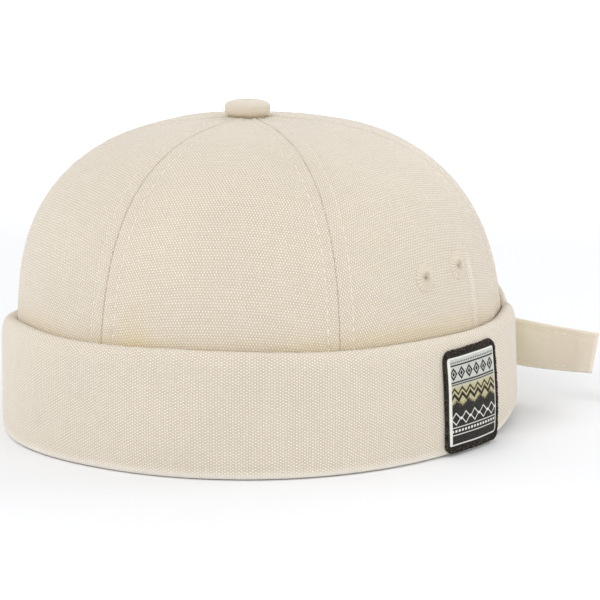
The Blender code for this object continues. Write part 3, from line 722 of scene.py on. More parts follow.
def arch_start(first):
    """The share at which each of a back panel's columns leaves the arch."""
    shares = np.linspace(0, 0.5, 800)[:, None]
    at = smooth_crown(panel_lengths(first, shares), shares)
    within = (at[..., 0] / (ARCH_WIDTH / 2)) ** 2 + (at[..., 2] / ARCH_HEIGHT) ** 2 < 1
    return np.where(within.any(0), shares[-1 - within[::-1].argmax(0), 0], 0)


def eyelet_places():
    share, back_share = share_at(EYELET_HEIGHT), share_at(EYELET_HEIGHT + EYELET_BACK_RISE)
    half = EYELET_SPACING / 2 / reach_at(share)
    side = PERIMETER / 4 + EYELETS_BEHIND_SIDE
    return {
        "eyelet_left_front": (side - half, share),
        "eyelet_left_back": (side + half, back_share),
        "eyelet_right_front": (PERIMETER - side + half, share),
        "eyelet_right_back": (PERIMETER - side - half, share),
    }


def make_panel(first, name, look):
    start = arch_start(first) if "back" in name else np.zeros(PANEL_COLUMNS)
    foot = panel_lengths(first, np.zeros((1, PANEL_COLUMNS)))[0]
    start = np.maximum(start, share_at(CUFF_RETURN + CLEARANCE + foot_arch(foot)))
    share = start + (1 - start) * np.linspace(0, 1, PANEL_ROWS + 1)[:, None]
    length = panel_lengths(first, share)
    outer = crown_at(length, share)
    inner = crown_at(length, share, -CROWN_WALL, seams=False)
    inner = np.where(np.abs(inner - outer).sum(-1, keepdims=True) < 0.0004, outer, inner)
    keep = np.ones((PANEL_ROWS, PANEL_COLUMNS - 1), bool)
    for place in eyelet_places().values():
        axis, out = crown_at(*place), crown_out(*place)
        middle = (outer[:-1, :-1] + outer[1:, 1:]) / 2
        keep &= np.linalg.norm(middle - axis, axis=-1) > PANEL_HOLE
        for grid in (outer, inner):
            way = grid - axis
            way -= out * (way @ out)[..., None]
            away = np.linalg.norm(way, axis=-1, keepdims=True)
            pushed = PUSHED_TO + away * (PUSHED_WITHIN - PUSHED_TO) / PUSHED_WITHIN
            grid += np.where(away < PUSHED_WITHIN, way / np.maximum(away, 1e-9) * (pushed - away), 0)
    mesh = shell("panel_" + name, outer, inner, panel_cloth(first, length, share), keep)
    put(mesh, look, "canvas", "crown_panel_" + name)


def stitches(name, paths, look, lift=0.00012):
    """Rows of stitches; each path is (points, ways out) at even steps along a row."""
    rings, sides = 7, 6
    turns = np.arange(sides)[:, None] / sides * TURN
    shares = 0.5 - 0.5 * np.cos(np.linspace(0, math.pi, rings))
    fat = (STITCH_WIDTH / 2 * (0.25 + 0.75 * np.sin(math.pi * shares) ** 0.5))[:, None, None]
    rise = lift - STITCH_WIDTH * 0.9 * (2 * shares - 1) ** 6
    one = [cells(rings, sides, True).reshape(-1, 4)[:, ::-1], *tube_ends(rings, sides)]
    points, faces = [], []
    for at, out in paths:
        run = run_of(at)
        for k in range(int((run[-1] + STITCH_PITCH - STITCH_LENGTH) / STITCH_PITCH)):
            spots = k * STITCH_PITCH + STITCH_LENGTH * shares
            middle, normal = along_path(at, run, spots), unit(along_path(out, run, spots))
            side = np.cross(unit(np.gradient(middle, axis=0)), normal)
            middle = middle + normal * rise[:, None]
            ring = middle[:, None] + side[:, None] * np.cos(turns) * fat
            faces += [face + len(points) * rings * sides for face in one]
            points.append(ring + normal[:, None] * (np.sin(turns) * 0.8) * fat)
    put(face_outwards(mesh_of(name, np.array(points), faces, sharp=80)), look, "thread")


def seam_rows():
    """The two rows of topstitching beside each of the six seams."""
    paths = []
    high = np.interp(0.0098, (REACHES * CROWN_LENGTH / 2)[::-1], SHARES[::-1])
    for seam in range(6):
        share = np.linspace(share_at(ARCH_HEIGHT + BINDING_WIDTH if seam == 3 else 0.036), high, 300)
        for row in (-ROW_LOW, ROW_HIGH):
            length = seam_length(seam) + drift(share) + row * row_scale(share) / reach_at(share)
            paths.append((crown_at(length, share), crown_out(length, share)))
    return paths


def back_of_crown(x, z, lift):
    """Points on the back of the crown by their x and height, and the way out there."""
    share = share_at(z)
    sine = np.clip(np.abs(x) / (CROWN_WIDTH / 2 * reach_at(share)), 0, 1) ** (OVAL_POWER / 2)
    angle = math.pi - np.sign(x) * np.arcsin(sine)
    length = np.interp(angle, OVAL_ANGLES, OVAL_LENGTHS)
    return crown_at(length, share, lift, seams=False), crown_out(length, share)


def arch_path(turn, aside):
    """x and height at a turn round the arch and a distance outside it."""
    half_width = ARCH_WIDTH / 2
    x, z = half_width * np.cos(turn), ARCH_HEIGHT * np.sin(turn)
    out = unit(stacked(np.cos(turn) / half_width, np.sin(turn) / ARCH_HEIGHT))
    return x + out[..., 0] * aside, z + out[..., 1] * aside


def make_binding(look, thread):
    """The bias strip folded over the arch's edge, with one row of stitches."""
    width, lift, inside = BINDING_WIDTH, BINDING_LIFT, -CROWN_WALL - BINDING_INSIDE
    middle, half = (lift + inside) / 2, (lift - inside) / 2
    section = [(width + 0.0002, 0.0), (width, lift * 0.75), (width - 0.0005, lift)]
    for across in np.linspace(width - 0.001, BINDING_FLAT, 9):
        section.append((across, lift - swell(across - BINDING_ROW, BINDING_SINK)))
    for turn in np.radians((72, 45, 15, -15, -45, -72)):
        section.append((-BINDING_FOLD * math.cos(turn), middle + half * math.sin(turn)))
    section += [(across, inside) for across in np.linspace(BINDING_FLAT, width - 0.0005, 7)]
    section += [(width, inside + 0.0004), (width + 0.0001, -CROWN_WALL)]
    aside, raised = np.array(section).T
    turns = np.linspace(math.radians(7), math.radians(173), 170)[:, None]
    x, z = arch_path(turns, aside)
    points = back_of_crown(x, np.maximum(z, CUFF_RETURN + 0.0006), raised)[0]
    around = np.cumsum(np.abs(np.gradient(aside)) + np.abs(np.gradient(raised)))
    along = turns * 0.045
    cloth = yarn_counts(CROWN_YARNS, (along + around) * 0.7, (along - around) * 0.7)
    put(tube("arch_binding", points, cloth), look, "canvas")
    x, z = arch_path(np.linspace(math.radians(12), math.radians(168), 400), BINDING_ROW)
    stitches("binding_stitches", [back_of_crown(x, z, lift - 0.0002)], thread)


def make_lining(name, length, share, over, under, cloth, look):
    """A strip of cloth inside the crown, between two depths under its inner side."""
    outer, inner = (crown_at(length, share, -CROWN_WALL - depth, seams=False) for depth in (over, under))
    put(shell(name, outer, inner, cloth), look, "strap_canvas")


def make_tapes(look):
    """The tapes that cover the seams inside the crown."""
    across = np.linspace(-1, 1, 15)
    aside = across * TAPE_WIDTH / 2
    arched = TAPE_RISE * np.cos(across * math.pi / 2) - swell(np.abs(aside) - TAPE_ROW, TAPE_SINK)
    for seam in range(6):
        low = ARCH_HEIGHT + 0.002 if seam == 3 else 0.006 + foot_arch(seam_length(seam))
        share = np.linspace(share_at(low), TAPE_TOP, 90)[:, None]
        narrowed = aside * np.minimum(1, reach_at(share) / 0.2)
        length = seam_length(seam) + drift(share) + narrowed / reach_at(share)
        cloth = yarn_counts(STRAP_YARNS, aside, share * CLIMB)
        make_lining(f"seam_tape_{seam}", length, share, 0.0001, TAPE_THICKNESS + arched, cloth, look)


def make_band(look, thread):
    """The band inside the crown's lower edge."""
    first = PERIMETER / 2 - BAND_FROM_MIDDLE
    length = np.linspace(-first, first, 260)
    steps = np.linspace(0, 1, 22)[:, None]
    foot = CUFF_RETURN + 0.0012 + foot_arch(length)
    height = foot + (BAND_TOP - foot) * steps
    share = share_at(height)
    puff = BAND_PUFF * np.sin(math.pi * steps) ** 0.5
    waves = BAND_WAVE * np.sin(length * 210 + height * 90)
    over = TAPE_THICKNESS + BAND_PLAY
    under = over + BAND_THICKNESS + puff + waves
    make_lining("inner_band", length, share, over, under, yarn_counts(STRAP_YARNS, length, height), look)
    run = np.linspace(-first, first, 900)
    share = np.full(900, share_at(BAND_TOP - BAND_ROW))
    at = crown_at(run, share, -CROWN_WALL - over - BAND_THICKNESS - 0.0003, seams=False)
    stitches("band_stitches", [(at, -crown_out(run, share))], thread)


def make_button(look):
    """A cloth-covered button: a full, flat-topped dome, gathered under its rim."""
    radius, widest, under_depth = BUTTON_DIAMETER / 2, 0.42, 0.36
    turns = np.linspace(0, TURN, 96, endpoint=False)
    climb = np.concatenate([np.linspace(1, 0.05, 30) * math.pi / 2, [0]])
    out = np.cos(climb) ** (2 / (BUTTON_POWER + 0.9))
    up = widest + 0.505 * np.sin(climb) ** (2 / (BUTTON_POWER + 1.3))
    under = np.radians(np.linspace(9, 90, 10))
    out = np.concatenate([out, 0.76 + 0.24 * np.cos(under) ** 0.8, [0.75]])
    up = np.concatenate([up, widest - under_depth * np.sin(under), [-0.12]])
    run = run_of(stacked(out * radius, up * BUTTON_HEIGHT))[:, None]
    out, up = out[:, None], up[:, None]
    gathers = ((0.011, 17, 0.8), (0.008, 29, 0), (0.006, 7, 2))
    gather = sum(size * np.sin(count * turns + phase) for size, count, phase in gathers)
    wide = radius * (out * (1 + gather * np.clip((0.6 - up) / 0.6, 0, 1) ** 1.5))
    z = BUTTON_HEIGHT * up * (1 + 0.012 * np.sin(2 * turns + 0.5)) + CROWN_HEIGHT + CLEARANCE
    points = stacked(wide * np.sin(turns) - 0.0005, -wide * np.cos(turns) - APEX_LEAN - 0.0004, z)
    # Painted warm shade: the dome's lower rim and underside are yellowed
    painted_warm_shade = 0.7 * np.clip((0.40 - up) / 0.25, 0, 1)
    cloth = yarn_counts(BUTTON_YARNS, run * np.sin(turns), run * np.cos(turns), painted_warm_shade)
    put(tube("button_cover", points, cloth, 70), look, "canvas", "button")


def make_rivet(look):
    """The button's flat head inside the crown."""
    top = CROWN_HEIGHT + CLEARANCE - SEAM_DIP - CROWN_WALL - 2 * CLEARANCE - 0.0006
    profile = [
        (0.0016, 0.002), (0.0016, 0), (0.0046, 0), (0.005, -0.0003),
        (0.0049, -0.0007), (0.0035, -0.00115), (0.0012, -0.0013),
    ]
    turns = np.linspace(0, TURN, 48, endpoint=False)
    out, up = np.array(profile).T[:, :, None]
    points = stacked(out * np.sin(turns), -out * np.cos(turns) - APEX_LEAN, up + top)
    put(tube("rivet_head", points), look, "steel")


def make_eyelet(name, length, share, look, twist):
    """A hand of thread sewn over and over round a hole."""
    at, out = Vector(crown_at(length, share)), Vector(crown_out(length, share))
    beside = [smooth_crown(length + step, share) for step in (0.001, -0.001)]
    across = Vector(beside[0] - beside[1]).normalized()
    hole, rim, back = EYELET_HOLE, EYELET_DIAMETER / 2, -CROWN_WALL - 0.0004
    section = [
        (rim + 0.0010, -0.0003), (rim + 0.0009, 0.0001), (rim + 0.0004, 0.00022),
        (rim - 0.0001, 0.0003), (rim * 0.88, 0.0005), (rim * 0.74, 0.00075), (rim * 0.6, 0.0008),
        (rim * 0.47, 0.0006), (hole + 0.0002, 0.0002), (hole, -0.0004), (hole + 0.0001, back + 0.0003),
        (rim * 0.5, back - 0.0003), (rim * 0.7, back - 0.0004), (rim * 0.9, back - 0.0002),
        (rim, back + 0.0002),
    ]
    reach, up = np.array(section).T
    turns = np.linspace(0, TURN, 378, endpoint=False)[:, None]
    wraps, thread = 19, 0.00052
    ridge = np.abs(np.sin(wraps / 2 * turns + 0.9 * (reach - hole) / rim)) ** 0.8
    uneven = 0.05 * np.sin(5 * turns + twist) + 0.04 * np.sin(11 * turns + 2 * twist)
    face = np.where(up > -0.0003, 1, -1)
    r = reach * (1 + 0.5 * uneven) + 0.0006 * ridge * (reach > rim)
    r = r - 0.0004 * np.cos(turns) ** 2 * hump(reach - hole, 0.0006)
    points = stacked(r * np.cos(turns), r * np.sin(turns), up + face * (ridge - 0.6) * thread)
    mesh = tube("sewn_" + name, points, sharp=80, ring=True)
    axes = Matrix((across, out.cross(across), out)).transposed()
    mesh.transform(Matrix.Translation(at) @ axes.to_4x4())
    put(mesh, look, "thread", name)


# Cuff


def plan_point(length, out):
    """x and y at a length and a distance outside the crown's foot."""
    angle = angle_at(length)
    return oval_point(1, angle) + oval_normal(angle) * np.asarray(out)[..., None]


def cuff_bulge(height):
    return CUFF_BULGE * np.sin(math.pi * np.clip(height / CUFF_HEIGHT, 0, 1))


def cuff_top(length, from_end):
    """The rim's height: it drops towards the back, waves, sags at the side and crests behind it."""
    angle = angle_at(length)
    drop = CUFF_DROP * step_between((1 - np.cos(angle - CUFF_HIGH_ANGLE)) / 2, *DROP_FROM)
    wave = CUFF_WAVE * np.cos(CUFF_WAVES * (angle - CUFF_WAVE_ANGLE)) + RIM_RISE
    for at, form in RIM_SWELLS:
        wave = wave + swell(length - at, form)
    wave = wave - SIDE_SAG * span_at(length, *SIDE_SAG_SPAN)
    crest = step_between(angle, *CREST_FROM) * (1 - CREST_LEFT * step_between(angle, *CREST_BACK))
    wave = wave + TOP_CREST * crest
    short = np.clip(1 - from_end / CUFF_END_RADIUS, 0, 1)
    return CUFF_HEIGHT + wave - drop - CUFF_END_RADIUS * (1 - np.sqrt(1 - short**2))


def cuff_waves(length, height):
    """Shallow, slow waves of the rolled cloth, which fade out towards its foot."""
    above = height - foot_arch(length)
    slow = np.sin(length * 47 + height * 60) + 0.6 * np.sin(length * 91 - height * 120 + 1.2)
    slow = slow + 0.5 * np.sin(length * 26 + 2.4) * np.cos(height * 95)
    slow = CUFF_WAVE_RISE * slow * np.clip(above / 0.012, 0, 1)
    lean = WALL_LEAN * span_at(length, *WALL_LEAN_SPAN) * np.clip(height / CUFF_HEIGHT, 0, 1)
    return slow - swell(above - FOOT_DIP_HEIGHT, FOOT_DIP) - lean


def roll_fill(length, height):
    """How far the roll's inner layers lie on the crown; near the cuff's two ends they stand open."""
    low = 1 - step_between(length, *LEFT_OPENS)
    rim = np.maximum(1 - step_between(length, *RIM_OPENS), RIM_FILL * low)
    filled = rim + (low - rim) * (1 - step_between(height, *RIM_FROM))
    return (1 - step_between(-length, *RIGHT_OPENS)) * filled


def cuff_section(length, top, half):
    """The cuff's closed outline as rows of (out from the crown, height)."""
    upright = CUFF_STANDOFF + CUFF_WALL / 2
    roll_start = top - CUFF_WALL / 2 - CUFF_ROLL
    arch = foot_arch(length)
    heights = np.linspace(arch + FOOT_RADIUS, roll_start, 26)
    turn = ROLL_TURN * np.arange(1, 11) / 10
    rolled = upright + cuff_bulge(roll_start) - CUFF_ROLL_IN * (1 - np.cos(turn))
    out = np.concatenate([upright + cuff_bulge(heights), rolled])
    up = np.concatenate([heights, roll_start + CUFF_ROLL * np.sin(turn)])
    middle = stacked(out + cuff_waves(length, up), up)
    ways = unit(np.gradient(middle, axis=0))
    sides = stacked(ways[:, 1], -ways[:, 0]) * half
    outside, inside = middle + sides, middle - sides
    leant = (1 - reach_at(share_at(inside[:, 1]))) * CROWN_WIDTH / 2
    against = ROLL_GAP - ROLL_FOLLOWS * span_at(length, *ROLL_FOLLOWS_SPAN) * leant
    inside[:, 0] += roll_fill(length, inside[:, 1]) * np.minimum(against - inside[:, 0], 0)
    fold_turn = math.pi * np.arange(1, 9)[:, None] / 9
    across, onward = (outside[-1] - inside[-1]) / 2, ways[-1] * half
    fold = (outside[-1] + inside[-1]) / 2 + across * np.cos(fold_turn) + onward * np.sin(fold_turn)
    foot_turn = math.pi / 2 - FOOT_TURN * np.arange(9) / 8
    foot = outside[0] + FOOT_RADIUS * stacked(np.cos(foot_turn) - 1, -np.sin(foot_turn))
    edge, inner = -CROWN_WALL, inside[0, 0]
    inner_foot = [
        (inner - 0.0003, CUFF_RETURN + 0.0002), (inner - 0.0009, CUFF_RETURN),
        (edge + 0.0006, CUFF_RETURN), (edge, CUFF_RETURN * 0.8), (edge - 0.0007, CUFF_RETURN / 2),
        (edge, CUFF_RETURN * 0.2), (edge + 0.0006, 0),
    ]
    return np.concatenate([foot, outside, fold, inside[::-1], np.array(inner_foot) + [0, arch]])


def make_cuff(look):
    near = np.array([0, 0.05, 0.2, 0.45, 0.8, 1.1, 1.6, 2.3, 3.2, 4.4, 6]) / 1000
    middle = np.linspace(-GAP_LEFT + near[-1], GAP_LEFT - near[-1], 380)[1:-1]
    stations = np.concatenate([-GAP_LEFT + near, middle, GAP_LEFT - near[::-1]])
    from_end = GAP_LEFT - np.abs(stations)
    half = CUFF_WALL / 2 * np.sqrt(1 - np.clip(1 - from_end / (CUFF_WALL / 2), 0, 0.97) ** 2)
    tops = cuff_top(stations, from_end)
    sections = np.array([cuff_section(*values) for values in zip(stations, tops, half)])
    plan = plan_point(stations[:, None], sections[..., 0])
    points = np.concatenate([plan, sections[..., 1:]], -1)
    up = np.array([run_of(section) for section in sections])
    along = stations[:, None] * (1 + CUFF_OUTSIDE * TURN / PERIMETER)
    above = sections[..., 1] - foot_arch(stations)[:, None]
    order = np.arange(up.shape[1])
    # Painted light: the roll's inside is painted paler against the shade in the gap, and a pale band
    # along the foot is a painted highlight
    inner_side, low_outside = step_between(order, 51, 57), order < 20
    wear_and_painted_light = -0.3 * inner_side - hump(above - 0.0007, 0.0016) * low_outside
    mesh = tube("turned_up_cuff", points, yarn_counts(CUFF_YARNS, up, along, wear_and_painted_light), 60)
    put(mesh, look, "cuff_canvas", "cuff")


def make_cuff_stitches(look):
    """A row of stitches down each end of the cuff, 6 mm from its edge."""
    paths = []
    height = np.linspace(END_ROW_LOW, END_ROW_HIGH, 90)
    for length in (END_ROW - GAP_LEFT, GAP_LEFT - END_ROW):
        out = CUFF_OUTSIDE + cuff_bulge(height) + cuff_waves(length, height)
        at = np.concatenate([plan_point(length, out), height[:, None]], 1)
        paths.append((at, np.tile([*oval_normal(angle_at(length)), 0.0], (len(height), 1))))
    stitches("cuff_end_stitches", paths, look)


# Patch


def patch_point(across, up, out):
    """Points on the patch, which lies on the cuff's left side and follows its waves and roll."""
    per_length = PERIMETER / (PERIMETER + TURN * CUFF_OUTSIDE)
    lean = PATCH_LEAN * (0.5 - up / PATCH_HEIGHT)
    length = PERIMETER / 4 + (PATCH_BEHIND_SIDE + across + lean) * per_length
    height = PATCH_FOOT + up
    roll_start = cuff_top(length, CUFF_END_RADIUS) - CUFF_WALL / 2 - CUFF_ROLL
    turn = np.arcsin(np.clip((height - roll_start) / CUFF_ROLL, 0, 0.98))
    rolled = CUFF_ROLL_IN * (1 - np.cos(turn))
    under = CUFF_OUTSIDE + cuff_bulge(height) + cuff_waves(length, height) - rolled
    here = plan_point(length, under + out)
    return stacked(here[..., 0], here[..., 1], height)


def make_field(look):
    """The patch's woven field, whose cloth gives mm across, up and in from its edge."""
    inset, count, edge_corner = PATCH_BORDER * 0.8, 61, 0.0015
    corner = PATCH_CORNER - inset
    half_width, half_height = PATCH_WIDTH / 2 - inset * PATCH_SIDE, PATCH_HEIGHT / 2 - inset
    v = np.linspace(-1, 1, count)[:, None] * half_height
    into = np.clip((np.abs(v) - (half_height - corner)) / corner, 0, 1)
    wide = half_width - corner * (1 - np.sqrt(1 - into**2))
    u = np.linspace(-1, 1, count) * wide
    quilt = 0.00012 * np.sin(u * 310 + 1) * np.sin(v * 260)
    outer = patch_point(u, v + PATCH_HEIGHT / 2, CLEARANCE + PATCH_THICKNESS + quilt)
    inner = patch_point(u, v + PATCH_HEIGHT / 2, CLEARANCE)
    border = PATCH_BORDER + CLEARANCE
    box = stacked(
        np.abs(u) - (PATCH_WIDTH / 2 - border * PATCH_SIDE - edge_corner),
        np.abs(v) - (PATCH_HEIGHT / 2 - border - edge_corner),
    )
    edge = edge_corner - np.linalg.norm(np.maximum(box, 0), axis=-1) - np.minimum(box.max(-1), 0)
    put(shell("patch_weave", outer, inner, stacked(u, v, edge) * 1000), look, "label", "patch_field")


def outline_at(run, inset):
    """Points round the outline, moved in by inset, less so at the patch's sides."""
    wide, high = PATCH_WIDTH - 2 * PATCH_CORNER, PATCH_HEIGHT - 2 * PATCH_CORNER
    arc = (PATCH_CORNER - PATCH_BORDER / 2) * math.pi / 2
    knots = np.cumsum([0, high, arc, wide, arc, high, arc, wide, arc])
    at = np.array([
        [1, 1, 1, -1, -1, -1, -1, 1, 1],
        [-1, 1, 1, 1, 1, -1, -1, -1, -1],
        [0, 0, 1, 1, 2, 2, 3, 3, 4],
    ]) * [[wide / 2], [high / 2], [math.pi / 2]]
    x, y, turn = (np.interp(run * knots[-1], knots, values) for values in at)
    x = x + (PATCH_CORNER - inset * PATCH_SIDE) * np.cos(turn)
    return x, y + (PATCH_CORNER - inset) * np.sin(turn) + PATCH_HEIGHT / 2


def make_border(look):
    """The overlocked edge: one thread wrapped over the rim again and again."""
    wraps, per_wrap, thread = 236, 7, 0.00030
    run = (np.arange(wraps * per_wrap) / (wraps * per_wrap))[:, None]
    turn = np.radians(np.linspace(-8, 188, 15))
    inset = PATCH_BORDER / 2 * (1 - np.cos(turn)) * 1.03
    lift = BORDER_THICKNESS * (0.12 + 0.88 * np.clip(np.sin(turn), 0, 1) ** 0.6)
    inset = np.concatenate([inset, [PATCH_BORDER * 0.9, PATCH_BORDER * 0.1]])
    lift = np.concatenate([lift, [0.0001, 0.0001]])
    lean = (inset / PATCH_BORDER) * 0.9 / wraps
    phase = run * wraps
    ridge = np.abs(np.sin(math.pi * phase)) ** 0.8
    uneven = 0.10 * np.sin(phase * 0.73) + 0.08 * np.sin(phase * 1.91 + 1)
    wide = 1 + 0.05 * np.sin(phase * 0.31) + 0.04 * np.sin(phase * 1.13 + 2)
    x, y = outline_at((run + lean) % 1, (inset - PATCH_BORDER / 2) * wide + PATCH_BORDER / 2)
    out = CLEARANCE + lift * (1 + uneven * 0.5) + (ridge - 0.7) * thread * (lift > 0.0002)
    cloth = stacked(phase, inset * 1000, 0.0)
    mesh = tube("overlocked_border", patch_point(x, y, out), cloth, 80, ring=True)
    put(mesh, look, "overlock", "patch_border")


# Strap, tab and slide


def towards_left(length):
    """The way along the back of the cuff, towards the wearer's left."""
    normal = oval_normal(angle_at(length))
    return np.array([normal[1], -normal[0]])


def slide_frame():
    """The slide's middle, the way along it and the way out."""
    length = GAP_LEFT + SLIDE_FROM_GAP_END
    return plan_point(length, LOOP_RADIUS), towards_left(length), oval_normal(angle_at(length))


def bar_point(steps, out):
    middle, along, normal = slide_frame()
    return middle + along * SLIDE_PITCH * steps + normal * out


def curve_between(start, start_way, end, end_way, steps):
    """A smooth curve with given ways at both ends, without its last point."""
    span = np.linalg.norm(end - start)
    t = (np.arange(steps) / steps)[:, None]
    return (
        start * (2 * t**3 - 3 * t**2 + 1)
        + start_way * span * (t**3 - 2 * t**2 + t)
        + end * (3 * t**2 - 2 * t**3)
        + end_way * span * (t**3 - t**2)
    )


def strap_path():
    """The strap's middle in plan, from its sewn end to its free end."""
    half = STRAP_THICKNESS / 2
    under_cuff = CLEARANCE + half
    over_bar = SLIDE_BAR / 2 + SLIDE_PLAY + half
    over_loop = LOOP_RADIUS + SLIDE_PLAY + half
    over_cuff = CUFF_OUTSIDE + CUFF_BULGE + SLIDE_PLAY + half
    along = slide_frame()[1]
    anchor = GAP_RIGHT + STRAP_ANCHOR * (1 - np.arange(14) / 14)
    parts = [plan_point(anchor, under_cuff)]
    stops = [
        (plan_point(GAP_RIGHT, under_cuff), towards_left(GAP_RIGHT)),
        (bar_point(-1, over_bar), along),
        (bar_point(0, -over_bar), along),
        (bar_point(1, over_loop), along),
        (plan_point(GAP_LEFT, over_cuff), towards_left(GAP_LEFT)),
    ]
    for (start, start_way), (end, end_way) in zip(stops, stops[1:]):
        parts.append(curve_between(start, start_way, end, end_way, 30))
    at, way = stops[-1]
    steps = 48
    heading = math.atan2(way[1], way[0]) + TAIL_TURN * (np.arange(steps) + 0.5) / steps
    moves = stacked(np.cos(heading), np.sin(heading)) * TAIL_LENGTH / steps
    return np.concatenate([*parts, [at], at + np.cumsum(moves, 0)])


def ribbon(name, path, half_width, thickness, slant=0.0, hem=0.0, drop=0.0, wear_and_painted_light=0):
    """A standing strip along a path, and the spots, plan, way out, half sizes and middle of its rows."""
    run = run_of(path)
    total = run[-1]
    ends = np.array([0, 0.05, 0.15, 0.35, 0.6, 0.9]) / 1000
    spots = np.concatenate([ends, np.arange(0.0015, total - 0.0013, 0.0011), total - ends[::-1]])
    at, either_side = along_path(path, run, spots), 0.0012
    way = unit(along_path(path, run, spots + either_side) - along_path(path, run, spots - either_side))
    out = stacked(-way[:, 1], way[:, 0])
    half = half_width(spots / total)
    thick = thickness / 2 + hem / 2 * np.clip((spots - total + STRAP_HEM_LENGTH) / 0.0006, 0, 1)
    for away in (spots, total - spots):
        thick = thick * np.sqrt(1 - np.clip(1 - away / 0.0009, 0, 0.96) ** 2)
    high, deep = half[:, None], thick[:, None]
    round_off = deep * 0.8
    flat = (high - round_off) * np.linspace(-1, 1, 17)
    edge = np.radians(np.linspace(75, -75, 6))
    face = stacked(deep - swell(high - np.abs(flat) - STRAP_ROW, STRAP_SINK), flat)
    top = stacked(deep * np.sin(edge), high - round_off + round_off * np.cos(edge))
    section = np.concatenate([face, top, -face, -top], 1)
    back = slant * (1 - section[..., 1] / high) / 2
    back = back * np.clip(1 - (total - spots) / 0.022, 0, 1)[:, None] ** 1.5
    plan = at[:, None] + out[:, None] * section[..., :1] - way[:, None] * back[..., None]
    middle = CUFF_HEIGHT / 2 - drop * step_between(spots / total, 0.62, 0.78)
    points = np.concatenate([plan, middle[:, None, None] + section[..., 1:]], -1)
    # Painted light: the inner face is painted paler from near the tail's root to near its end, where the
    # cuff shades it
    pale = -1.25 * span_at(spots, total - 0.078, total - 0.062, total - 0.042, total - 0.008)
    pale = pale[:, None] * np.clip(-2 * section[..., 0] / thickness, 0, 1)
    cloth = yarn_counts(STRAP_YARNS, spots[:, None], section[..., 1], wear_and_painted_light * pale)
    return tube(name, points, cloth, 60), (spots, at, out, half, thick, middle)


def strip_rows(strip, inset, low, high, face):
    """Rows of stitches along a strip's edges, on its outer or inner face."""
    kept = (strip[0] >= low) & (strip[0] <= high)
    at, out, half, thick, middle = (values[kept] for values in strip[1:])
    plan = at + out * (thick * face - face * 0.0001)[:, None]
    ways = np.pad(out * face, ((0, 0), (0, 1)))
    heights = [middle + side * (half - inset) for side in (-1, 1)]
    return [(np.concatenate([plan, height[:, None]], 1), ways) for height in heights]


def make_strap(look, thread):
    path = strap_path()
    tail = TAIL_LENGTH / run_of(path)[-1]

    def half_width(share):
        return np.interp((share - 1 + tail) / tail, [0, 0.3, 0.45, 1], [0.009, 0.00945, 0.0095, 0.00825])

    sizes = {"slant": TAIL_SLANT, "hem": STRAP_HEM, "drop": TAIL_DROP, "wear_and_painted_light": 1}
    mesh, strip = ribbon("sewn_strap", path, half_width, STRAP_THICKNESS, **sizes)
    put(mesh, look, "strap_canvas", "strap")
    last = strip[0][-1] - 0.010
    paths = [row for face in (1, -1) for row in strip_rows(strip, STRAP_ROW, STRAP_ANCHOR, last, face)]
    stitches("strap_stitches", paths, thread, lift=0.00002)


def make_tab(look):
    """The cloth loop that runs round the slide's bar and back under the cuff."""
    centre, half = bar_point(1, 0.0), STRAP_WIDTH / 2 - TAB_INSET
    along, out = slide_frame()[1:]
    under_cuff = CLEARANCE + TAB_THICKNESS / 2
    reach = LOOP_HOLE + TAB_THICKNESS / 2
    turns = np.radians(np.linspace(-52, -332, 60))[:, None]
    loop = centre + reach * (along * np.cos(turns) - out * np.sin(turns))
    joint = centre + along * (reach + 0.0035) + out * 0.0002
    path = np.concatenate([
        loop[:-1],
        curve_between(loop[-1], unit(loop[-1] - loop[-2]), joint, along, 10),
        curve_between(joint, along, plan_point(GAP_LEFT, under_cuff), towards_left(GAP_LEFT), 20),
        plan_point(GAP_LEFT - TAB_ANCHOR * np.linspace(0, 1, 14), under_cuff),
    ])
    mesh = ribbon("sewn_tab", path, lambda share: half + 0 * share, TAB_THICKNESS)[0]
    put(mesh, look, "strap_canvas", "strap_tab")


def rectangle_spline(curve, left, right, half_height, corner):
    """A closed outline with round corners."""
    turns = np.radians(np.array([0, 90, 180, 270])[:, None] + np.linspace(0, 90, 9))
    x = np.array([right - corner, left + corner, left + corner, right - corner])[:, None]
    y = (half_height - corner) * np.array([1, 1, -1, -1])[:, None]
    points = stacked(x + corner * np.cos(turns), y + corner * np.sin(turns), 0, 1).reshape(-1, 4)
    spline = curve.splines.new("POLY")
    spline.points.add(len(points) - 1)
    spline.points.foreach_set("co", points.ravel())
    spline.use_cyclic_u = True


def make_slide(look):
    """The metal slide: a plate with two windows, between which the middle bar stays."""
    curve = bpy.data.curves.new("slide", "CURVE")
    curve.dimensions = "2D"
    curve.fill_mode = "BOTH"
    curve.extrude = SLIDE_BAR / 2 - SLIDE_BEVEL
    curve.bevel_depth, curve.bevel_resolution, curve.offset = SLIDE_BEVEL, 3, -SLIDE_BEVEL
    half_height = STRAP_WIDTH / 2 + SLIDE_PLAY
    reach = SLIDE_PITCH + SLIDE_BAR / 2
    rectangle_spline(curve, -reach, reach, half_height + SLIDE_BAR, SLIDE_CORNER)
    near, far = SLIDE_BAR / 2, SLIDE_PITCH - SLIDE_BAR / 2
    for left, right in ((-far, -near), (near, far)):
        rectangle_spline(curve, left, right, half_height, SLIDE_BAR / 4)
    middle, along, out = slide_frame()
    put(curve, look, "steel", "buckle").matrix_world = Matrix((
        (along[0], 0, out[0], middle[0]),
        (along[1], 0, out[1], middle[1]),
        (0, 1, 0, CUFF_HEIGHT / 2),
        (0, 0, 0, 1),
    ))


# Studio

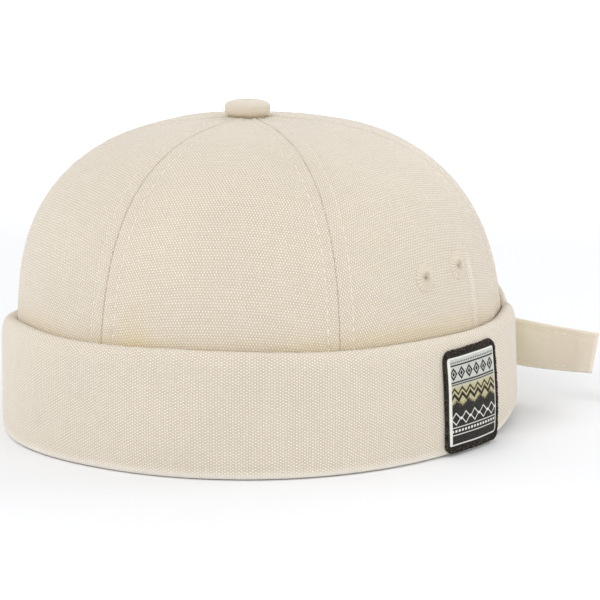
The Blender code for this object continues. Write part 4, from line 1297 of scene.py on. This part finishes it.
# Lamps: place, diameter, power and what they are turned to
CAP = (0, 0, 0.05)
LAMPS = {
    "key": ((0.0, -1.0, 1.15), 0.6, 6.8, CAP),
    "left_fill": ((-1.4, -0.95, 0.3), 0.8, 6.6, CAP),
    "right_fill": ((1.65, -0.3, 0.35), 0.8, 6.4, CAP),
    "rear": ((-0.3, 1.3, 0.9), 1.4, 3.6, CAP),
    "rear_right": ((0.9, 1.0, 0.8), 0.9, 3.9, CAP),
    "backdrop": ((-1.0, 1.3, 1.2), 1.2, 50.0, (-1.7, 2.2, 0)),
}
FLOOR_HALF, FLOOR_HEIGHT, SKY = 6, -0.0002, 0.77
AZIMUTH, ELEVATION, DISTANCE = math.radians(37.3), math.radians(10.41), 1.351
LENS, SENSOR, CLIP_START = 209.73, 36, 0.1
LOOKED_AT, AIM_RIGHT, AIM_DOWN = (0, 0, 0.0579), 0.0147, 0.0107


def stand(made, place, target):
    """Puts a lamp or the camera in its place, turned to its target."""
    made.location = place
    made.rotation_euler = (Vector(target) - Vector(place)).to_track_quat("-Z", "Y").to_euler()


def make_studio():
    floor = bpy.data.meshes.new("floor")
    corners = [(x * FLOOR_HALF, y * FLOOR_HALF, 0) for x, y in ((-1, -1), (1, -1), (1, 1), (-1, 1))]
    floor.from_pydata(corners, [], [(0, 1, 2, 3)])
    floor.materials.append(floor_look())
    made = add(floor)
    made.location.z = FLOOR_HEIGHT

    world = bpy.data.worlds.new("studio")
    world.use_nodes = True
    world.node_tree.nodes["Background"].inputs["Color"].default_value = (1, 1, 1, 1)
    world.node_tree.nodes["Background"].inputs["Strength"].default_value = SKY
    bpy.context.scene.world = world

    for name, (place, size, power, target) in LAMPS.items():
        light = bpy.data.lights.new(name, "AREA")
        light.shape, light.size, light.energy = "DISK", size, power
        stand(add(light), place, target)


def make_camera():
    flat = math.cos(ELEVATION)
    back = Vector((math.sin(AZIMUTH) * flat, -math.cos(AZIMUTH) * flat, math.sin(ELEVATION)))
    right = Vector((math.cos(AZIMUTH), math.sin(AZIMUTH), 0))
    data = bpy.data.cameras.new("camera")
    data.lens, data.sensor_width, data.clip_start = LENS, SENSOR, CLIP_START
    middle, camera = Vector(LOOKED_AT), add(data)
    stand(camera, middle + back * DISTANCE, middle + right * AIM_RIGHT - back.cross(right) * AIM_DOWN)
    bpy.context.scene.camera = camera


PANELS = ("front_left", "side_left", "back_left", "back_right", "side_right", "front_right")


def main():
    # Each look's gap colour is painted shade in the weave's hollows between the yarns
    yarn, gap = rgb(241, 235, 225), rgb(190, 176, 154)
    canvas = canvas_look("canvas_weave", yarn, gap, 0.00016, 0.9)
    button_canvas = canvas_look("button_weave", rgb(232, 225, 213), rgb(190, 177, 156), 0.00009, 0.8)
    cuff_canvas = canvas_look("cuff_weave", yarn, gap, 0.00016, 0.85)
    # The strap's third colour is painted light for where the cuff shades its tail
    strap_yarn, strap_gap, strap_painted_light = rgb(238, 230, 216), rgb(202, 188, 167), rgb(255, 250, 230)
    strap_canvas = canvas_look("strap_weave", strap_yarn, strap_gap, 0.00009, 0.6, strap_painted_light)
    thread = thread_look("topstitch_thread", rgb(236, 229, 217))
    embroidery = thread_look("eyelet_thread", rgb(217, 207, 190), 1900.0)
    steel = steel_look()
    for first, name in enumerate(PANELS):
        make_panel(first, name, canvas)
    stitches("seam_stitches", seam_rows(), thread)
    make_binding(canvas, thread)
    make_tapes(strap_canvas)
    make_band(strap_canvas, thread)
    make_button(button_canvas)
    make_rivet(steel)
    for twist, (name, place) in enumerate(eyelet_places().items()):
        make_eyelet(name, *place, embroidery, twist)
    make_cuff(cuff_canvas)
    make_cuff_stitches(thread)
    make_field(label_look())
    make_border(overlock_look())
    make_strap(strap_canvas, thread_look("strap_thread", rgb(248, 242, 228)))
    make_tab(strap_canvas)
    make_slide(steel)
    make_studio()
    make_camera()
    bpy.context.scene.view_settings.view_transform = "Standard"


main()
